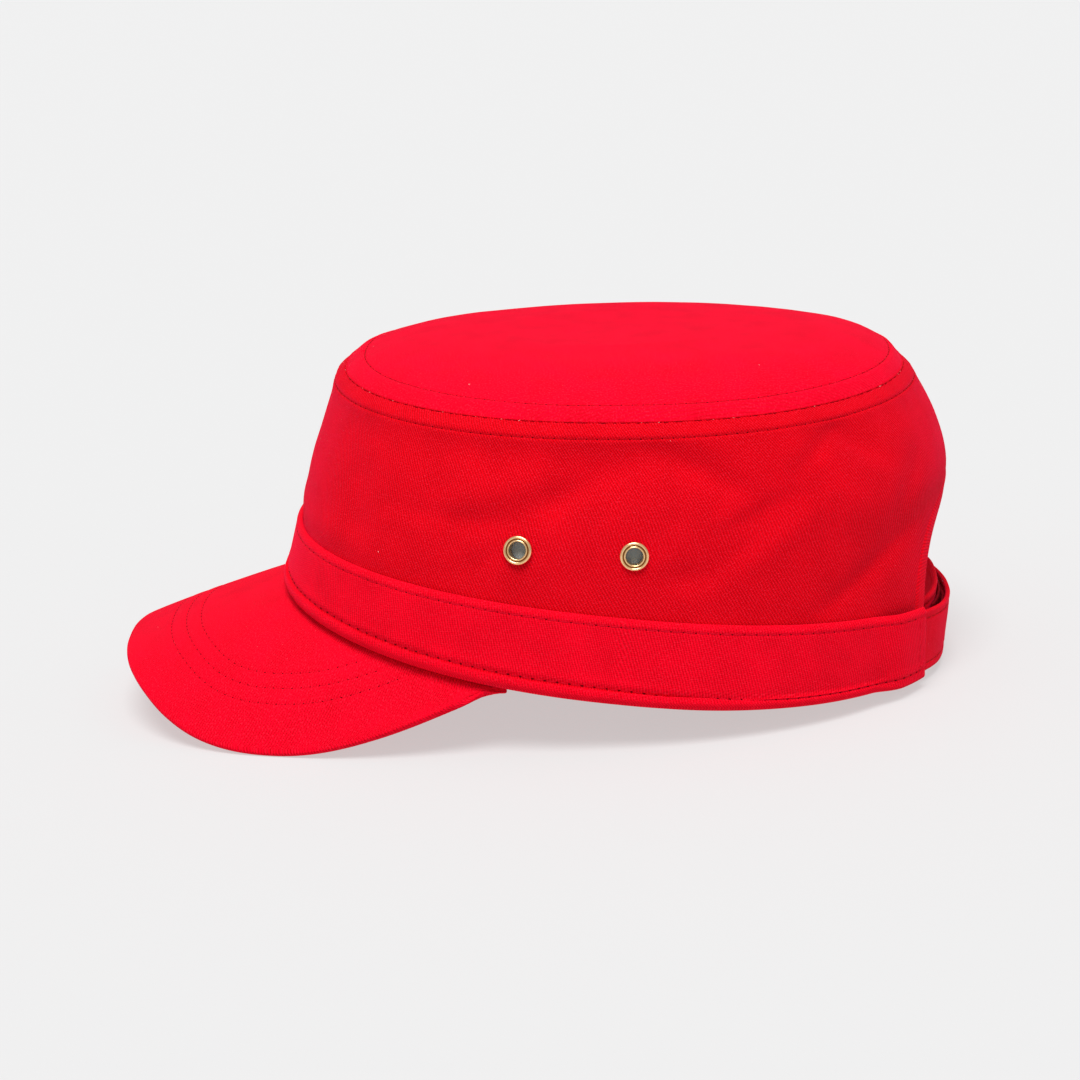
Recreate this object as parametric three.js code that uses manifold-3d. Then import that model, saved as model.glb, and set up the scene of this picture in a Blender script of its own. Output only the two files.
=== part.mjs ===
import * as THREE from "three";
import { mergeVertices } from "three/addons/utils/BufferGeometryUtils.js";
import Module from "manifold-3d";

const wasm = await Module();
wasm.setup();

// A patrol cap resting on a table. Millimetres, +Z up, the peak points to -Y and the
// wearer's left side is +X. The origin lies on the table, under the middle of the cap.

// Driving sizes.

const CLOTH = 1.7; // twill and its backing
const STRAP = 1.4; // doubled twill of the closing straps
const TAPE = 0.8; // hook tape and loop tape
const GAP = 0.3; // clear distance between sewn pieces
const SEAM_DROP = 0.8; // the side wall ends this far below the top seam's line
const SEAM_EDGE = 0.45; // the top panel's thickness at its very edge
const CENTRE_Y = -0.5; // middle of the cap from the peak's edge to the strap
const COLUMNS = 64; // steps around the head

const BAND_END_X = 39; // where the band's hem stops on each side of the opening
const BAND_END_LEAN = 4; // and how much farther off its top edge stops
const BAND_LIFT = STRAP + 2 * GAP; // the band's ends lie over the straps
const LIFT_FULL = 10; // lifted fully over this length from each end
const LIFT_FADE = 9; // and settling down over this length
const CROWN_FOOT = 0.3; // share of the band's height where the side wall ends behind it

const ARCH_HALF = 37; // half width of the arch opening
const ARCH_SPRING_Z = 29; // height where the arch starts to curve in
const ARCH_TOP_Z = 55; // top of the arch opening
const ARCH_STEPS = 14; // steps round the arch

const EYELET_FLANGE_R = 4.25;
const EYELET_HOLE_R = 2.5;
const EYELET_BARREL_R = 2.95;
const EYELET_BACK_R = 3.85;
const EYELET_CLOTH_R = 3.3;
const EYELET_CLEAR = GAP + 0.15; // the flanges stand this far off the cloth
const EYELET_STEPS = 16;

// Rings round the head. frontY, frontZ, backY and backZ say how far a ring reaches and
// how high it lies there, half is half its width, sag is how far its sides hang below
// the straight line from front to back, and square says how square its front and back
// halves are, where 2 is an ellipse.

// The outer face of the band: its hem and its top edge.
const HEM = {
  frontY: -79.8, frontZ: 36.6, backY: 122.3, backZ: 3.0, half: 83.5, sag: 5.8, square: [2.2, 2.15],
};
const BAND_TOP = {
  frontY: -73.6, frontZ: 56.8, backY: 125.6, backZ: 25.0, half: 82.5, sag: 1.1, square: [2.3, 2.15],
};

// The crown's side wall above the band, from the band to the top seam.
const CROWN_RINGS = [
  { frontY: -68.7, frontZ: 72.5, backY: 124.2, backZ: 50.5, half: 79.6, sag: 3.6, square: [2.3, 2.15] },
  { frontY: -64.4, frontZ: 83.5, backY: 126.0, backZ: 63.0, half: 77.8, sag: 3.4, square: [2.3, 2.15] },
  { frontY: -61.0, frontZ: 92.3, backY: 123.0, backZ: 76.5, half: 75.0, sag: 3.2, square: [2.3, 2.15] },
  { frontY: -58.6, frontZ: 98.2, backY: 118.2, backZ: 86.8, half: 72.6, sag: 3.1, square: [2.3, 2.15] },
  { frontY: -55.4, frontZ: 102.2, backY: 114.0, backZ: 93.2, half: 70.0, sag: 3.0, square: [2.3, 2.15] },
];

// The top panel, from the top seam inwards to its flat middle.
const TOP_RINGS = [
  CROWN_RINGS.at(-1),
  { frontY: -50.6, frontZ: 104.8, backY: 109.2, backZ: 97.8, half: 65.3, sag: 2.4, square: [2.3, 2.15] },
  { frontY: -44.0, frontZ: 106.8, backY: 102.2, backZ: 101.3, half: 58.0, sag: 1.4, square: [2.3, 2.15] },
  { frontY: -30.0, frontZ: 108.6, backY: 87.0, backZ: 104.4, half: 46.0, sag: 0.6, square: [2.2, 2.1] },
  { frontY: -8.0, frontZ: 109.1, backY: 62.0, backZ: 106.4, half: 27.0, sag: 0.0, square: [2.1, 2.0] },
];

// The rows of the top panel, as shares of the way from the seam to the flat middle.
const TOP_STEPS = [0, 0.1, 0.25, 0.375, 0.5, 0.72, 1];

// The lower part of the side wall lies behind the band, at these shares of its height.
const WALL_BEHIND = [CROWN_FOOT, 0.65, 0.97];

// The rows of the side wall, counted in rings from its foot: coarse behind the band.
const WALL_STEPS = [0, 1, 2, 2.5, 3, 3.5, 4, 4.5, 5, 5.5, 6, 6.5, 7];

// The band in section, from the rolled hem up. up is the share of the band's height,
// out the offset of its outer face, and deep how far its inner face lies inside.
const BAND_SECTION = [
  { up: 0.0, out: -1.3, deep: -3.0 },
  { up: 0.025, out: 0.2, deep: -3.9 },
  { up: 0.08, out: 0.8, deep: -4.1 },
  { up: 0.15, out: 0.5, deep: -4.1 },
  { up: 0.23, out: 0.0, deep: -4.1 },
  { up: 0.27, out: 0.0, deep: -CLOTH },
  { up: 0.6, out: 0.0, deep: -CLOTH },
  { up: 0.94, out: 0.0, deep: -CLOTH },
  { up: 1.0, out: -0.4, deep: -CLOTH + 0.2 },
];

// The peak's lower edge, one row per rib from the middle to the side: the angle where
// the rib leaves the hem, where it ends, and how thick the peak is there.
const PEAK_RIBS = [
  { root: 0, x: 0, y: -129.9, z: 17.4, thick: 2.6 },
  { root: 8, x: 14, y: -129.2, z: 17.1, thick: 2.6 },
  { root: 16, x: 27, y: -126.8, z: 15.7, thick: 2.6 },
  { root: 24, x: 39.5, y: -121.6, z: 12.0, thick: 2.6 },
  { root: 32, x: 50.0, y: -114.2, z: 6.9, thick: 2.6 },
  { root: 39, x: 57.6, y: -105.2, z: 2.5, thick: 2.6 },
  { root: 46, x: 64.0, y: -94.0, z: -0.1, thick: 2.6 },
  { root: 53, x: 69.2, y: -79.8, z: -0.9, thick: 2.6 },
  { root: 60, x: 73.8, y: -65.7, z: 0.9, thick: 2.6 },
  { root: 65, x: 77.2, y: -50.3, z: 5.1, thick: 2.6 },
  { root: 68, x: 79.0, y: -34.9, z: 10.6, thick: 2.6 },
  { root: 70.8, x: 79.0, y: -23.0, z: 15.6, thick: 2.2 },
  { root: 72.8, x: 78.2, y: -18.6, z: 18.3, thick: 1.7 },
];

// The peak's tab, which stands up behind the hem: offset from the band's outer face,
// height as a share of the band's, and thickness as a share of the peak's.
const PEAK_TAB = [
  { out: -5.3, up: 0.2, share: 0.5 },
  { out: -5.3, up: 0.09, share: 0.5 },
  { out: -5.0, up: -0.015, share: 0.55 },
];
const PEAK_ROOT_IN = 3.4; // the peak leaves the hem this far inside its outer face
const PEAK_SWELL = 0.9; // how far the peak bows up between root and edge
const PEAK_SHORT = 40; // ribs shorter than this bow up less
const PEAK_COLUMNS = 36;
const PEAK_SHARES = [0, 0.15, 0.35, 0.6, 0.82, 0.965, 1]; // rows from root to edge
const EDGE_MIDDLE = 0.45; // the edge's middle lies this share of its thickness over its foot
const EDGE_ROUND = 0.45; // the edge's face is this share of the peak's thickness

// The straps in plan, one row per step across the back: x, the offset of the outer face
// from the band's own curve, and how far the strap hangs below that curve.
const STRAP_OUTER_PATH = [
  { x: 48, out: -0.2, hang: -0.1 },
  { x: 39, out: -0.1, hang: -0.3 },
  { x: 27, out: 0.9, hang: 0.1 },
  { x: 13, out: 0.9, hang: 0.6 },
  { x: 0, out: 0.9, hang: 1.4 },
  { x: -14, out: 1.8, hang: 2.5 },
  { x: -28, out: 2.8, hang: 2.75 },
  { x: -39, out: 3.8, hang: 2.0 },
  { x: -49, out: 3.8, hang: 0.9 },
  { x: -60, out: 3.4, hang: 0.2 },
];
const STRAP_INNER_PATH = [
  { x: 46, out: -4.7, hang: 0.3 },
  { x: 38, out: -4.6, hang: -0.2 },
  { x: 27, out: -3.2, hang: -1.2 },
  { x: 13, out: -3.0, hang: -1.6 },
  { x: 0, out: -3.0, hang: -1.6 },
  { x: -14, out: -2.1, hang: -1.2 },
  { x: -28, out: -1.0, hang: -0.4 },
  { x: -39, out: -0.1, hang: 0.3 },
  { x: -48, out: -0.2, hang: 0.6 },
];
const STRAP_STEPS = 3; // stations per row of a path
const STRAP_ROWS = [0, 0.5, 1]; // rows from a strap's lower edge to its upper edge

// The lower and upper edges of the straps and tapes, as shares of the band's height.
const STRAP_OUTER_EDGES = { low: 0.0, high: 0.86 };
const STRAP_INNER_EDGES = { low: 0.06, high: 0.9 };
const TAPE_EDGES = { low: 0.12, high: 0.78 };
const TAPE_REACH = { fromX: 27, toX: -22 };

// Eyelets: the side, and where the middle lies along the cap and above the table.
const EYELETS = [
  { name: "eyelet_left_front", side: 1, y: -4.5, z: 60.3 },
  { name: "eyelet_left_back", side: 1, y: 28.5, z: 57.4 },
  { name: "eyelet_right_front", side: -1, y: -4.5, z: 60.3 },
  { name: "eyelet_right_back", side: -1, y: 28.5, z: 57.4 },
];

// An eyelet in section, from the rolled inner flange out to the domed outer flange: the
// radius, and the height above the cloth's outer face.
const EYELET_INNER_H = -(CLOTH + EYELET_CLEAR);
const EYELET_SECTION = [
  { r: EYELET_HOLE_R, h: EYELET_INNER_H - 0.5 },
  { r: EYELET_BACK_R, h: EYELET_INNER_H - 0.5 },
  { r: EYELET_BACK_R, h: EYELET_INNER_H },
  { r: EYELET_BARREL_R, h: EYELET_INNER_H },
  { r: EYELET_BARREL_R, h: EYELET_CLEAR },
  { r: EYELET_FLANGE_R, h: EYELET_CLEAR },
  { r: EYELET_FLANGE_R - 0.3, h: EYELET_CLEAR + 0.45 },
  { r: EYELET_FLANGE_R - 0.9, h: EYELET_CLEAR + 0.7 },
  { r: EYELET_HOLE_R + 0.4, h: EYELET_CLEAR + 0.6 },
  { r: EYELET_HOLE_R, h: EYELET_CLEAR + 0.2 },
  { r: EYELET_HOLE_R, h: EYELET_INNER_H - 0.5 },
];

// Soft dents of the side wall: which side, the middle, the lie of the dent in degrees
// from level, its half length and half width, and its depth.
const DENTS = [
  { side: 1, y: 99, z: 44, lie: 31, long: 20, wide: 6, deep: 1.4 },
  { side: 1, y: 96, z: 81, lie: -38, long: 10, wide: 4, deep: 0.9 },
  { side: 1, y: 67, z: 62, lie: 29, long: 22, wide: 7, deep: 0.9 },
  { side: 1, y: 51, z: 78, lie: -29, long: 16, wide: 6, deep: 0.8 },
  { side: 1, y: 5, z: 75, lie: 24, long: 24, wide: 9, deep: 1.0 },
  { side: -1, y: 94, z: 46, lie: 35, long: 22, wide: 8, deep: 1.2 },
  { side: -1, y: 24, z: 68, lie: 26, long: 28, wide: 11, deep: 1.0 },
];
const DENT_FROM_X = 20; // dents fade in from this far off the middle
const DENT_FADE_X = 30; // over this width

const COLOURS = {
  twill: { color: 0xd80a22, roughness: 0.85, metalness: 0.0 },
  tape: { color: 0x8a0c1a, roughness: 0.95, metalness: 0.0 },
  brass: { color: 0xd8b276, roughness: 0.3, metalness: 1.0 },
};

// Rings and surfaces.

const STEP = 0.01; // a small step of an angle or a share, to measure a direction

const rad = (degrees) => (degrees * Math.PI) / 180;
const smooth = (t) => THREE.MathUtils.smoothstep(t, 0, 1);

// A point of a ring. Angle 0 is the front, 90 degrees the wearer's left, 180 the back.
function ringPoint(ring, angle) {
  const c = Math.cos(angle);
  const s = Math.sin(angle);
  const power = 2 / ring.square[c > 0 ? 0 : 1];
  const length = ring.backY - ring.frontY;
  const x = ring.half * Math.sign(s) * Math.abs(s) ** power;
  const share = (1 - Math.sign(c) * Math.abs(c) ** power) / 2;
  const y = ring.frontY + length * share;
  const z = ring.frontZ + (ring.backZ - ring.frontZ) * share - ring.sag * (x / ring.half) ** 2;
  return new THREE.Vector3(x, y, z);
}

// The band's outer face: up is 0 at the hem and 1 at its top edge, out is the offset.
function bandPoint(angle, up, out = 0) {
  const at = (a, u) => ringPoint(HEM, a).lerp(ringPoint(BAND_TOP, a), u);
  const around = at(angle + STEP, up).sub(at(angle - STEP, up));
  const rise = at(angle, up + 0.5).sub(at(angle, up - 0.5));
  return at(angle, up).addScaledVector(around.cross(rise).normalize(), out);
}

// The angle where the band's curve passes a given x behind the head.
function backAngle(x) {
  const power = BAND_TOP.square[1] / 2;
  return Math.PI - Math.sign(x) * Math.asin(Math.abs(x / BAND_TOP.half) ** power);
}

// The side wall's line at one angle, from its foot behind the band up to the seam.
function wallLine(angle) {
  const behind = WALL_BEHIND.map((up) => bandPoint(angle, up, -(CLOTH + GAP)));
  const above = CROWN_RINGS.map((ring) => ringPoint(ring, angle));
  return new THREE.CatmullRomCurve3([...behind, ...above], false, "centripetal");
}

// How deep the side wall is dented at a point.
function dentDepth(point) {
  let depth = 0;
  for (const dent of DENTS) {
    const onSide = smooth((point.x * dent.side - DENT_FROM_X) / DENT_FADE_X);
    const dy = point.y - dent.y;
    const dz = point.z - dent.z;
    const along = dy * Math.cos(rad(dent.lie)) + dz * Math.sin(rad(dent.lie));
    const across = dz * Math.cos(rad(dent.lie)) - dy * Math.sin(rad(dent.lie));
    depth += onSide * dent.deep * Math.exp(-((along / dent.long) ** 2) - (across / dent.wide) ** 2);
  }
  return depth;
}

// Solids from grids of points, where grid[column][row] holds a point.

// Normals of a grid. Around it closes when closed is true.
function gridNormals(grid, closed) {
  const last = grid.length - 1;
  const next = (j) => (j < last ? j + 1 : closed ? 0 : last);
  const previous = (j) => (j > 0 ? j - 1 : closed ? last : 0);
  return grid.map((column, j) =>
    column.map((_, i) => {
      const around = grid[next(j)][i].clone().sub(grid[previous(j)][i]);
      const above = column[Math.min(i + 1, column.length - 1)];
      const below = column[Math.max(i - 1, 0)];
      return around.cross(above.clone().sub(below)).normalize();
    }),
  );
}

// A grid moved along its normals. amount(column, row) may vary.
function offsetGrid(grid, closed, amount) {
  const normals = gridNormals(grid, closed);
  return grid.map((column, j) =>
    column.map((point, i) => point.clone().addScaledVector(normals[j][i], amount(j, i))),
  );
}

// A closed body between an outer and an inner grid of the same size. Two poles, where
// they are given, close the last rows with a fan each in place of a rim.
function shell(outer, inner, closed, poles = []) {
  const columns = outer.length;
  const rows = outer[0].length;
  const points = [outer, inner].flat(2).concat(poles);
  const positions = points.flatMap((point) => [point.x, point.y, point.z]);
  const o = (j, i) => (j % columns) * rows + i;
  const n = (j, i) => columns * rows + o(j, i);
  const pole = 2 * columns * rows;
  const index = [];
  const quad = (a, b, c, d) => index.push(a, b, c, a, c, d);
  const steps = closed ? columns : columns - 1;
  const top = rows - 1;
  for (let j = 0; j < steps; j += 1) {
    for (let i = 0; i < top; i += 1) {
      quad(o(j, i), o(j + 1, i), o(j + 1, i + 1), o(j, i + 1));
      quad(n(j, i), n(j, i + 1), n(j + 1, i + 1), n(j + 1, i));
    }
    quad(n(j, 0), n(j + 1, 0), o(j + 1, 0), o(j, 0));
    if (poles.length > 0) {
      index.push(o(j, top), o(j + 1, top), pole, n(j + 1, top), n(j, top), pole + 1);
    } else {
      quad(o(j, top), o(j + 1, top), n(j + 1, top), n(j, top));
    }
  }
  for (let i = 0; i < top && !closed; i += 1) {
    quad(o(0, i), o(0, i + 1), n(0, i + 1), n(0, i));
    quad(o(steps, i), n(steps, i), n(steps, i + 1), o(steps, i + 1));
  }
  return geometryFrom(positions, index);
}

function geometryFrom(positions, index) {
  const geometry = new THREE.BufferGeometry();
  geometry.setAttribute("position", new THREE.Float32BufferAttribute(positions, 3));
  geometry.setIndex(index);
  return geometry;
}

function toSolid(geometry) {
  const bare = geometry.clone();
  bare.deleteAttribute("normal");
  bare.deleteAttribute("uv");
  const merged = mergeVertices(bare);
  const vertProperties = new Float32Array(merged.attributes.position.array);
  const triVerts = new Uint32Array(merged.index.array);
  return new wasm.Manifold(new wasm.Mesh({ numProp: 3, vertProperties, triVerts }));
}

function toGeometry(solid) {
  const mesh = solid.getMesh();
  return geometryFrom(Array.from(mesh.vertProperties), Array.from(mesh.triVerts));
}

// Applies a matrix and turns the faces round again where the matrix mirrors.
function placed(geometry, matrix) {
  const copy = geometry.clone().applyMatrix4(matrix);
  if (matrix.determinant() < 0) {
    const index = Array.from(copy.index.array);
    for (let k = 0; k < index.length; k += 3) {
      [index[k + 1], index[k + 2]] = [index[k + 2], index[k + 1]];
    }
    copy.setIndex(index);
  }
  return copy;
}

// The crown.

function crownSide() {
  const spans = WALL_STEPS.at(-1);
  const plain = [];
  for (let j = 0; j < COLUMNS; j += 1) {
    const line = wallLine((2 * Math.PI * j) / COLUMNS);
    const speed = line.getPoint(1).distanceTo(line.getPoint(1 - 2 * STEP)) / (2 * STEP);
    const highest = 1 - SEAM_DROP / speed;
    plain.push(WALL_STEPS.map((step) => line.getPoint(Math.min(step / spans, highest))));
  }
  const outer = offsetGrid(plain, true, (j, i) => -dentDepth(plain[j][i]));
  const inner = offsetGrid(outer, true, () => -CLOTH);
  let solid = toSolid(shell(outer, inner, true)).subtract(toSolid(archPrism()));
  const hole = new THREE.CylinderGeometry(EYELET_CLOTH_R, EYELET_CLOTH_R, 20, EYELET_STEPS);
  for (const eyelet of EYELETS) {
    solid = solid.subtract(toSolid(placed(hole, eyeletMatrix(eyelet))));
  }
  return toGeometry(solid);
}

// The space of the arch opening, pushed through the back of the side wall.
function archPrism() {
  const below = -20;
  const outline = new THREE.Shape();
  outline.moveTo(-ARCH_HALF, below);
  outline.lineTo(ARCH_HALF, below);
  outline.lineTo(ARCH_HALF, ARCH_SPRING_Z);
  outline.absellipse(0, ARCH_SPRING_Z, ARCH_HALF, ARCH_TOP_Z - ARCH_SPRING_Z, 0, Math.PI, false);
  outline.lineTo(-ARCH_HALF, below);
  const options = { depth: 80, bevelEnabled: false, curveSegments: ARCH_STEPS };
  return new THREE.ExtrudeGeometry(outline, options).rotateX(Math.PI / 2).translate(0, 160, 0);
}

function crownTop() {
  const columns = [];
  for (let j = 0; j < COLUMNS; j += 1) {
    const angle = (2 * Math.PI * j) / COLUMNS;
    const curve = new THREE.CatmullRomCurve3(TOP_RINGS.map((ring) => ringPoint(ring, angle)));
    columns.push(TOP_STEPS.map((step) => curve.getPoint(step)));
  }
  const under = offsetGrid(columns, true, (_, i) => (i === 0 ? -SEAM_EDGE : -CLOTH));
  const last = TOP_RINGS.at(-1);
  const middle = ringPoint(last, 0).lerp(ringPoint(last, Math.PI), 0.5);
  const lower = middle.clone().setZ(middle.z - CLOTH);
  return shell(columns, under, true, [middle, lower]);
}

// The band, open over the back opening, with a rolled hem along its lower edge.

// How far a part of the band is lifted by the strap under it, from 0 to 1.
function liftShare(mark) {
  if (mark.y < 0) {
    return 0;
  }
  return 1 - smooth((Math.abs(mark.x) - BAND_END_X - LIFT_FULL) / LIFT_FADE);
}

function band() {
  const outer = [];
  const inner = [];
  for (let j = 0; j <= COLUMNS; j += 1) {
    const way = (2 * j) / COLUMNS - 1;
    const angle = (up) => way * backAngle(BAND_END_X + BAND_END_LEAN * up);
    const share = liftShare(bandPoint(angle(0), 0));
    const lift = BAND_LIFT * share;
    const deep = (row) => THREE.MathUtils.lerp(row.deep, Math.max(row.deep, -CLOTH), share);
    const at = (row, out) => bandPoint(angle(row.up), row.up, out + lift);
    outer.push(BAND_SECTION.map((row) => at(row, row.out * (1 - share))));
    inner.push(BAND_SECTION.map((row) => at(row, deep(row))));
  }
  return shell(outer, inner, false);
}

// The peak.

// Every rib from the wearer's left to the right, with the right side mirrored.
function allRibs() {
  const right = PEAK_RIBS.slice(1).map((rib) => ({ ...rib, root: -rib.root, x: -rib.x }));
  return [...PEAK_RIBS].reverse().concat(right);
}

// One rib: up the tab behind the hem, then out to the edge with a slight swell.
function ribLine(angle, thick, edge) {
  const tab = PEAK_TAB.map((step) => bandPoint(angle, step.up, step.out));
  const root = bandPoint(angle, 0, -PEAK_ROOT_IN);
  root.z -= GAP + thick / 2;
  const swell = PEAK_SWELL * Math.min(1, root.distanceTo(edge) / PEAK_SHORT);
  const blade = PEAK_SHARES.map((share) => {
    const point = root.clone().lerp(edge, share);
    return point.setZ(point.z + swell * Math.sin(Math.PI * share));
  });
  return [...tab, ...blade];
}

function peak() {
  const ribs = allRibs();
  const edges = new THREE.CatmullRomCurve3(
    ribs.map((rib) => new THREE.Vector3(rib.x, rib.y, rib.z + rib.thick * EDGE_MIDDLE)),
  );
  const roots = new THREE.CatmullRomCurve3(
    ribs.map((rib) => new THREE.Vector3(rib.root, rib.thick, 0)),
  );
  const shares = [...PEAK_TAB.map((step) => step.share), ...PEAK_SHARES.map(() => 1)];
  shares[shares.length - 1] = EDGE_ROUND;
  const middle = [];
  const halves = [];
  for (let j = 0; j <= PEAK_COLUMNS; j += 1) {
    const root = roots.getPoint(j / PEAK_COLUMNS);
    middle.push(ribLine(rad(root.x), root.y, edges.getPoint(j / PEAK_COLUMNS)));
    halves.push(root.y / 2);
  }
  const upper = offsetGrid(middle, false, (j, i) => halves[j] * shares[i]);
  const lower = offsetGrid(middle, false, (j, i) => -halves[j] * shares[i]);
  return shell(upper, lower, false);
}

// The straps and the tapes between them.

// A strip of the band's own curve, moved in or out along a path. inwards is how far its
// outer face lies inside the path, and reach the stretch of x that it covers.
function strip(path, edges, thick, inwards = 0, reach = { fromX: Infinity, toX: -Infinity }) {
  const plan = new THREE.CatmullRomCurve3(
    path.map((step) => new THREE.Vector3(step.x, step.out, step.hang)),
  );
  const stations = plan
    .getPoints(STRAP_STEPS * (path.length - 1))
    .filter((station) => station.x <= reach.fromX && station.x >= reach.toX);
  const grid = (depth) =>
    stations.map((station) =>
      STRAP_ROWS.map((share) => {
        const up = THREE.MathUtils.lerp(edges.low, edges.high, share);
        const point = bandPoint(backAngle(station.x), up, station.y - inwards - depth);
        return point.setZ(point.z - station.z);
      }),
    );
  return shell(grid(0), grid(thick), false);
}

// The eyelets.

// Walks over the side wall to the point at a given y and z on the wearer's left.
function wallSpot(y, z) {
  const at = (a, h) => wallLine(a).getPoint(h);
  let angle = Math.PI / 2;
  let height = 0.5;
  for (let k = 0; k < 20; k += 1) {
    const here = at(angle, height);
    angle += (STEP * (y - here.y)) / (at(angle + STEP, height).y - here.y);
    height += (STEP * (z - here.z)) / (at(angle, height + STEP).z - here.z);
  }
  const around = at(angle + STEP, height).sub(at(angle - STEP, height));
  const rise = at(angle, height + STEP).sub(at(angle, height - STEP));
  return { centre: at(angle, height), normal: around.cross(rise).normalize() };
}

// Puts a shape that stands up along +Y on the wall where the eyelet goes.
function eyeletMatrix(eyelet) {
  const { centre, normal } = wallSpot(eyelet.y, eyelet.z);
  const mirror = new THREE.Vector3(eyelet.side, 1, 1);
  centre.addScaledVector(normal, -dentDepth(centre.clone().multiply(mirror)));
  const turn = new THREE.Quaternion().setFromUnitVectors(new THREE.Vector3(0, 1, 0), normal);
  const matrix = new THREE.Matrix4().compose(centre, turn, new THREE.Vector3(1, 1, 1));
  return matrix.premultiply(new THREE.Matrix4().makeScale(eyelet.side, 1, 1));
}

function eyeletShape() {
  const profile = EYELET_SECTION.map((corner) => new THREE.Vector2(corner.r, corner.h));
  return new THREE.LatheGeometry(profile, EYELET_STEPS);
}

// The assembly.

const cap = new THREE.Group();

function add(name, geometry, look) {
  const mesh = new THREE.Mesh(geometry, new THREE.MeshStandardMaterial(COLOURS[look]));
  mesh.name = name;
  mesh.position.y = -CENTRE_Y;
  cap.add(mesh);
}

add("crown_top", crownTop(), "twill");
add("crown_side", crownSide(), "twill");
add("band", band(), "twill");
add("peak", peak(), "twill");
add("strap_outer", strip(STRAP_OUTER_PATH, STRAP_OUTER_EDGES, STRAP), "twill");
add("strap_inner", strip(STRAP_INNER_PATH, STRAP_INNER_EDGES, STRAP), "twill");
add("hook_tape", strip(STRAP_OUTER_PATH, TAPE_EDGES, TAPE, STRAP + GAP, TAPE_REACH), "tape");
add("loop_tape", strip(STRAP_INNER_PATH, TAPE_EDGES, TAPE, -GAP - TAPE, TAPE_REACH), "tape");
for (const eyelet of EYELETS) {
  add(eyelet.name, placed(eyeletShape(), eyeletMatrix(eyelet)), "brass");
}

export default cap;
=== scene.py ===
# %% [markdown]
# # A patrol cap in red cotton twill
#
# The real cap is sewn from a flat top panel, a side wall, a wide band with a rolled hem, a
# stiff curved peak and two straps that close the opening at the back. Four brass eyelets let
# the air in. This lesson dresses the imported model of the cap: every cloth piece is laid again
# with its seams, stitches, folds and weave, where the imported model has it.

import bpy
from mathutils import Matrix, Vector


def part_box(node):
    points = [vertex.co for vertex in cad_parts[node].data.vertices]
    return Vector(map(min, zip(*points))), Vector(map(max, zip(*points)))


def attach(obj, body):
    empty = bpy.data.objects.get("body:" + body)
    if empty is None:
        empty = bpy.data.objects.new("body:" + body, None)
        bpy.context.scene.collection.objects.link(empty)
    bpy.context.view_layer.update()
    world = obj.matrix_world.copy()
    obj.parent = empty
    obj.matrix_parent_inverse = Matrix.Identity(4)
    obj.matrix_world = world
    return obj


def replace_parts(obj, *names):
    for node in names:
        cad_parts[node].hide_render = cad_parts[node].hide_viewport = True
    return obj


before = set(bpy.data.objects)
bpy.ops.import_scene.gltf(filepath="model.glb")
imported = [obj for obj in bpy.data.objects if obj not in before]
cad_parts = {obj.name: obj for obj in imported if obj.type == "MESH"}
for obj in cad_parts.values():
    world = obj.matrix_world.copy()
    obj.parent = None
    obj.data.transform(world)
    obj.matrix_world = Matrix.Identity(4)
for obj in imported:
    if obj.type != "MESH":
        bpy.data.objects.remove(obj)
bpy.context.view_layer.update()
print("nodes:", ", ".join(sorted(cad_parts)))

# %% [markdown]
# ## Sizes
#
# All lengths are metres. The cap is built from rings round the head: each one says how far
# it reaches and how high it lies in front and at the back, half its width, how far its sides
# hang below the straight line from front to back, and how square its front and back halves
# are, where 2 is an ellipse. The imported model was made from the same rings.

# %% Rings round the head
import math
from collections import namedtuple

import bpy
import numpy as np
from mathutils import Matrix, Vector, noise

Ring = namedtuple("Ring", "front_y front_z back_y back_z half sag square_front square_back")

HEM = Ring(-0.0798, 0.0366, 0.1223, 0.0030, 0.0835, 0.0058, 2.2, 2.15)
BAND_TOP = Ring(-0.0736, 0.0568, 0.1256, 0.0250, 0.0825, 0.0011, 2.3, 2.15)
CROWN_RINGS = [
    Ring(-0.0687, 0.0725, 0.1242, 0.0505, 0.0796, 0.0036, 2.3, 2.15),
    Ring(-0.0644, 0.0835, 0.1260, 0.0630, 0.0778, 0.0034, 2.3, 2.15),
    Ring(-0.0610, 0.0923, 0.1230, 0.0765, 0.0750, 0.0032, 2.3, 2.15),
    Ring(-0.0586, 0.0982, 0.1182, 0.0868, 0.0726, 0.0031, 2.3, 2.15),
    Ring(-0.0554, 0.1022, 0.1140, 0.0932, 0.0700, 0.0030, 2.3, 2.15),
]
TOP_RINGS = [
    CROWN_RINGS[-1],
    Ring(-0.0506, 0.1048, 0.1092, 0.0978, 0.0653, 0.0024, 2.3, 2.15),
    Ring(-0.0440, 0.1068, 0.1022, 0.1013, 0.0580, 0.0014, 2.3, 2.15),
    Ring(-0.0300, 0.1086, 0.0870, 0.1044, 0.0460, 0.0006, 2.2, 2.1),
    Ring(-0.0080, 0.1091, 0.0620, 0.1064, 0.0270, 0.0, 2.1, 2.0),
]
SHIFT_Y = 0.0005  # the rings are measured from a point this far in front of the origin
CLOTH = 0.0017
GAP = 0.0003
STRAP = 0.0014
TAPE = 0.0008
WALL_BEHIND = [0.3, 0.65, 0.97]  # the side wall's lower part, as shares of the band's height
print(len(CROWN_RINGS) + len(TOP_RINGS) + 1, "rings")

# %% [markdown]
# A grid of points over a surface is an array of columns, rows and x, y, z. These helpers work
# out such grids from the rings. Angle 0 is the front of the head, 90 degrees the wearer's
# left and 180 the back.

# %% Surfaces from rings
TURN = 2 * math.pi
STEP = 0.01


def unit(vectors):
    lengths = np.linalg.norm(vectors, axis=-1, keepdims=True)
    return vectors / np.maximum(lengths, 1e-12)


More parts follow.
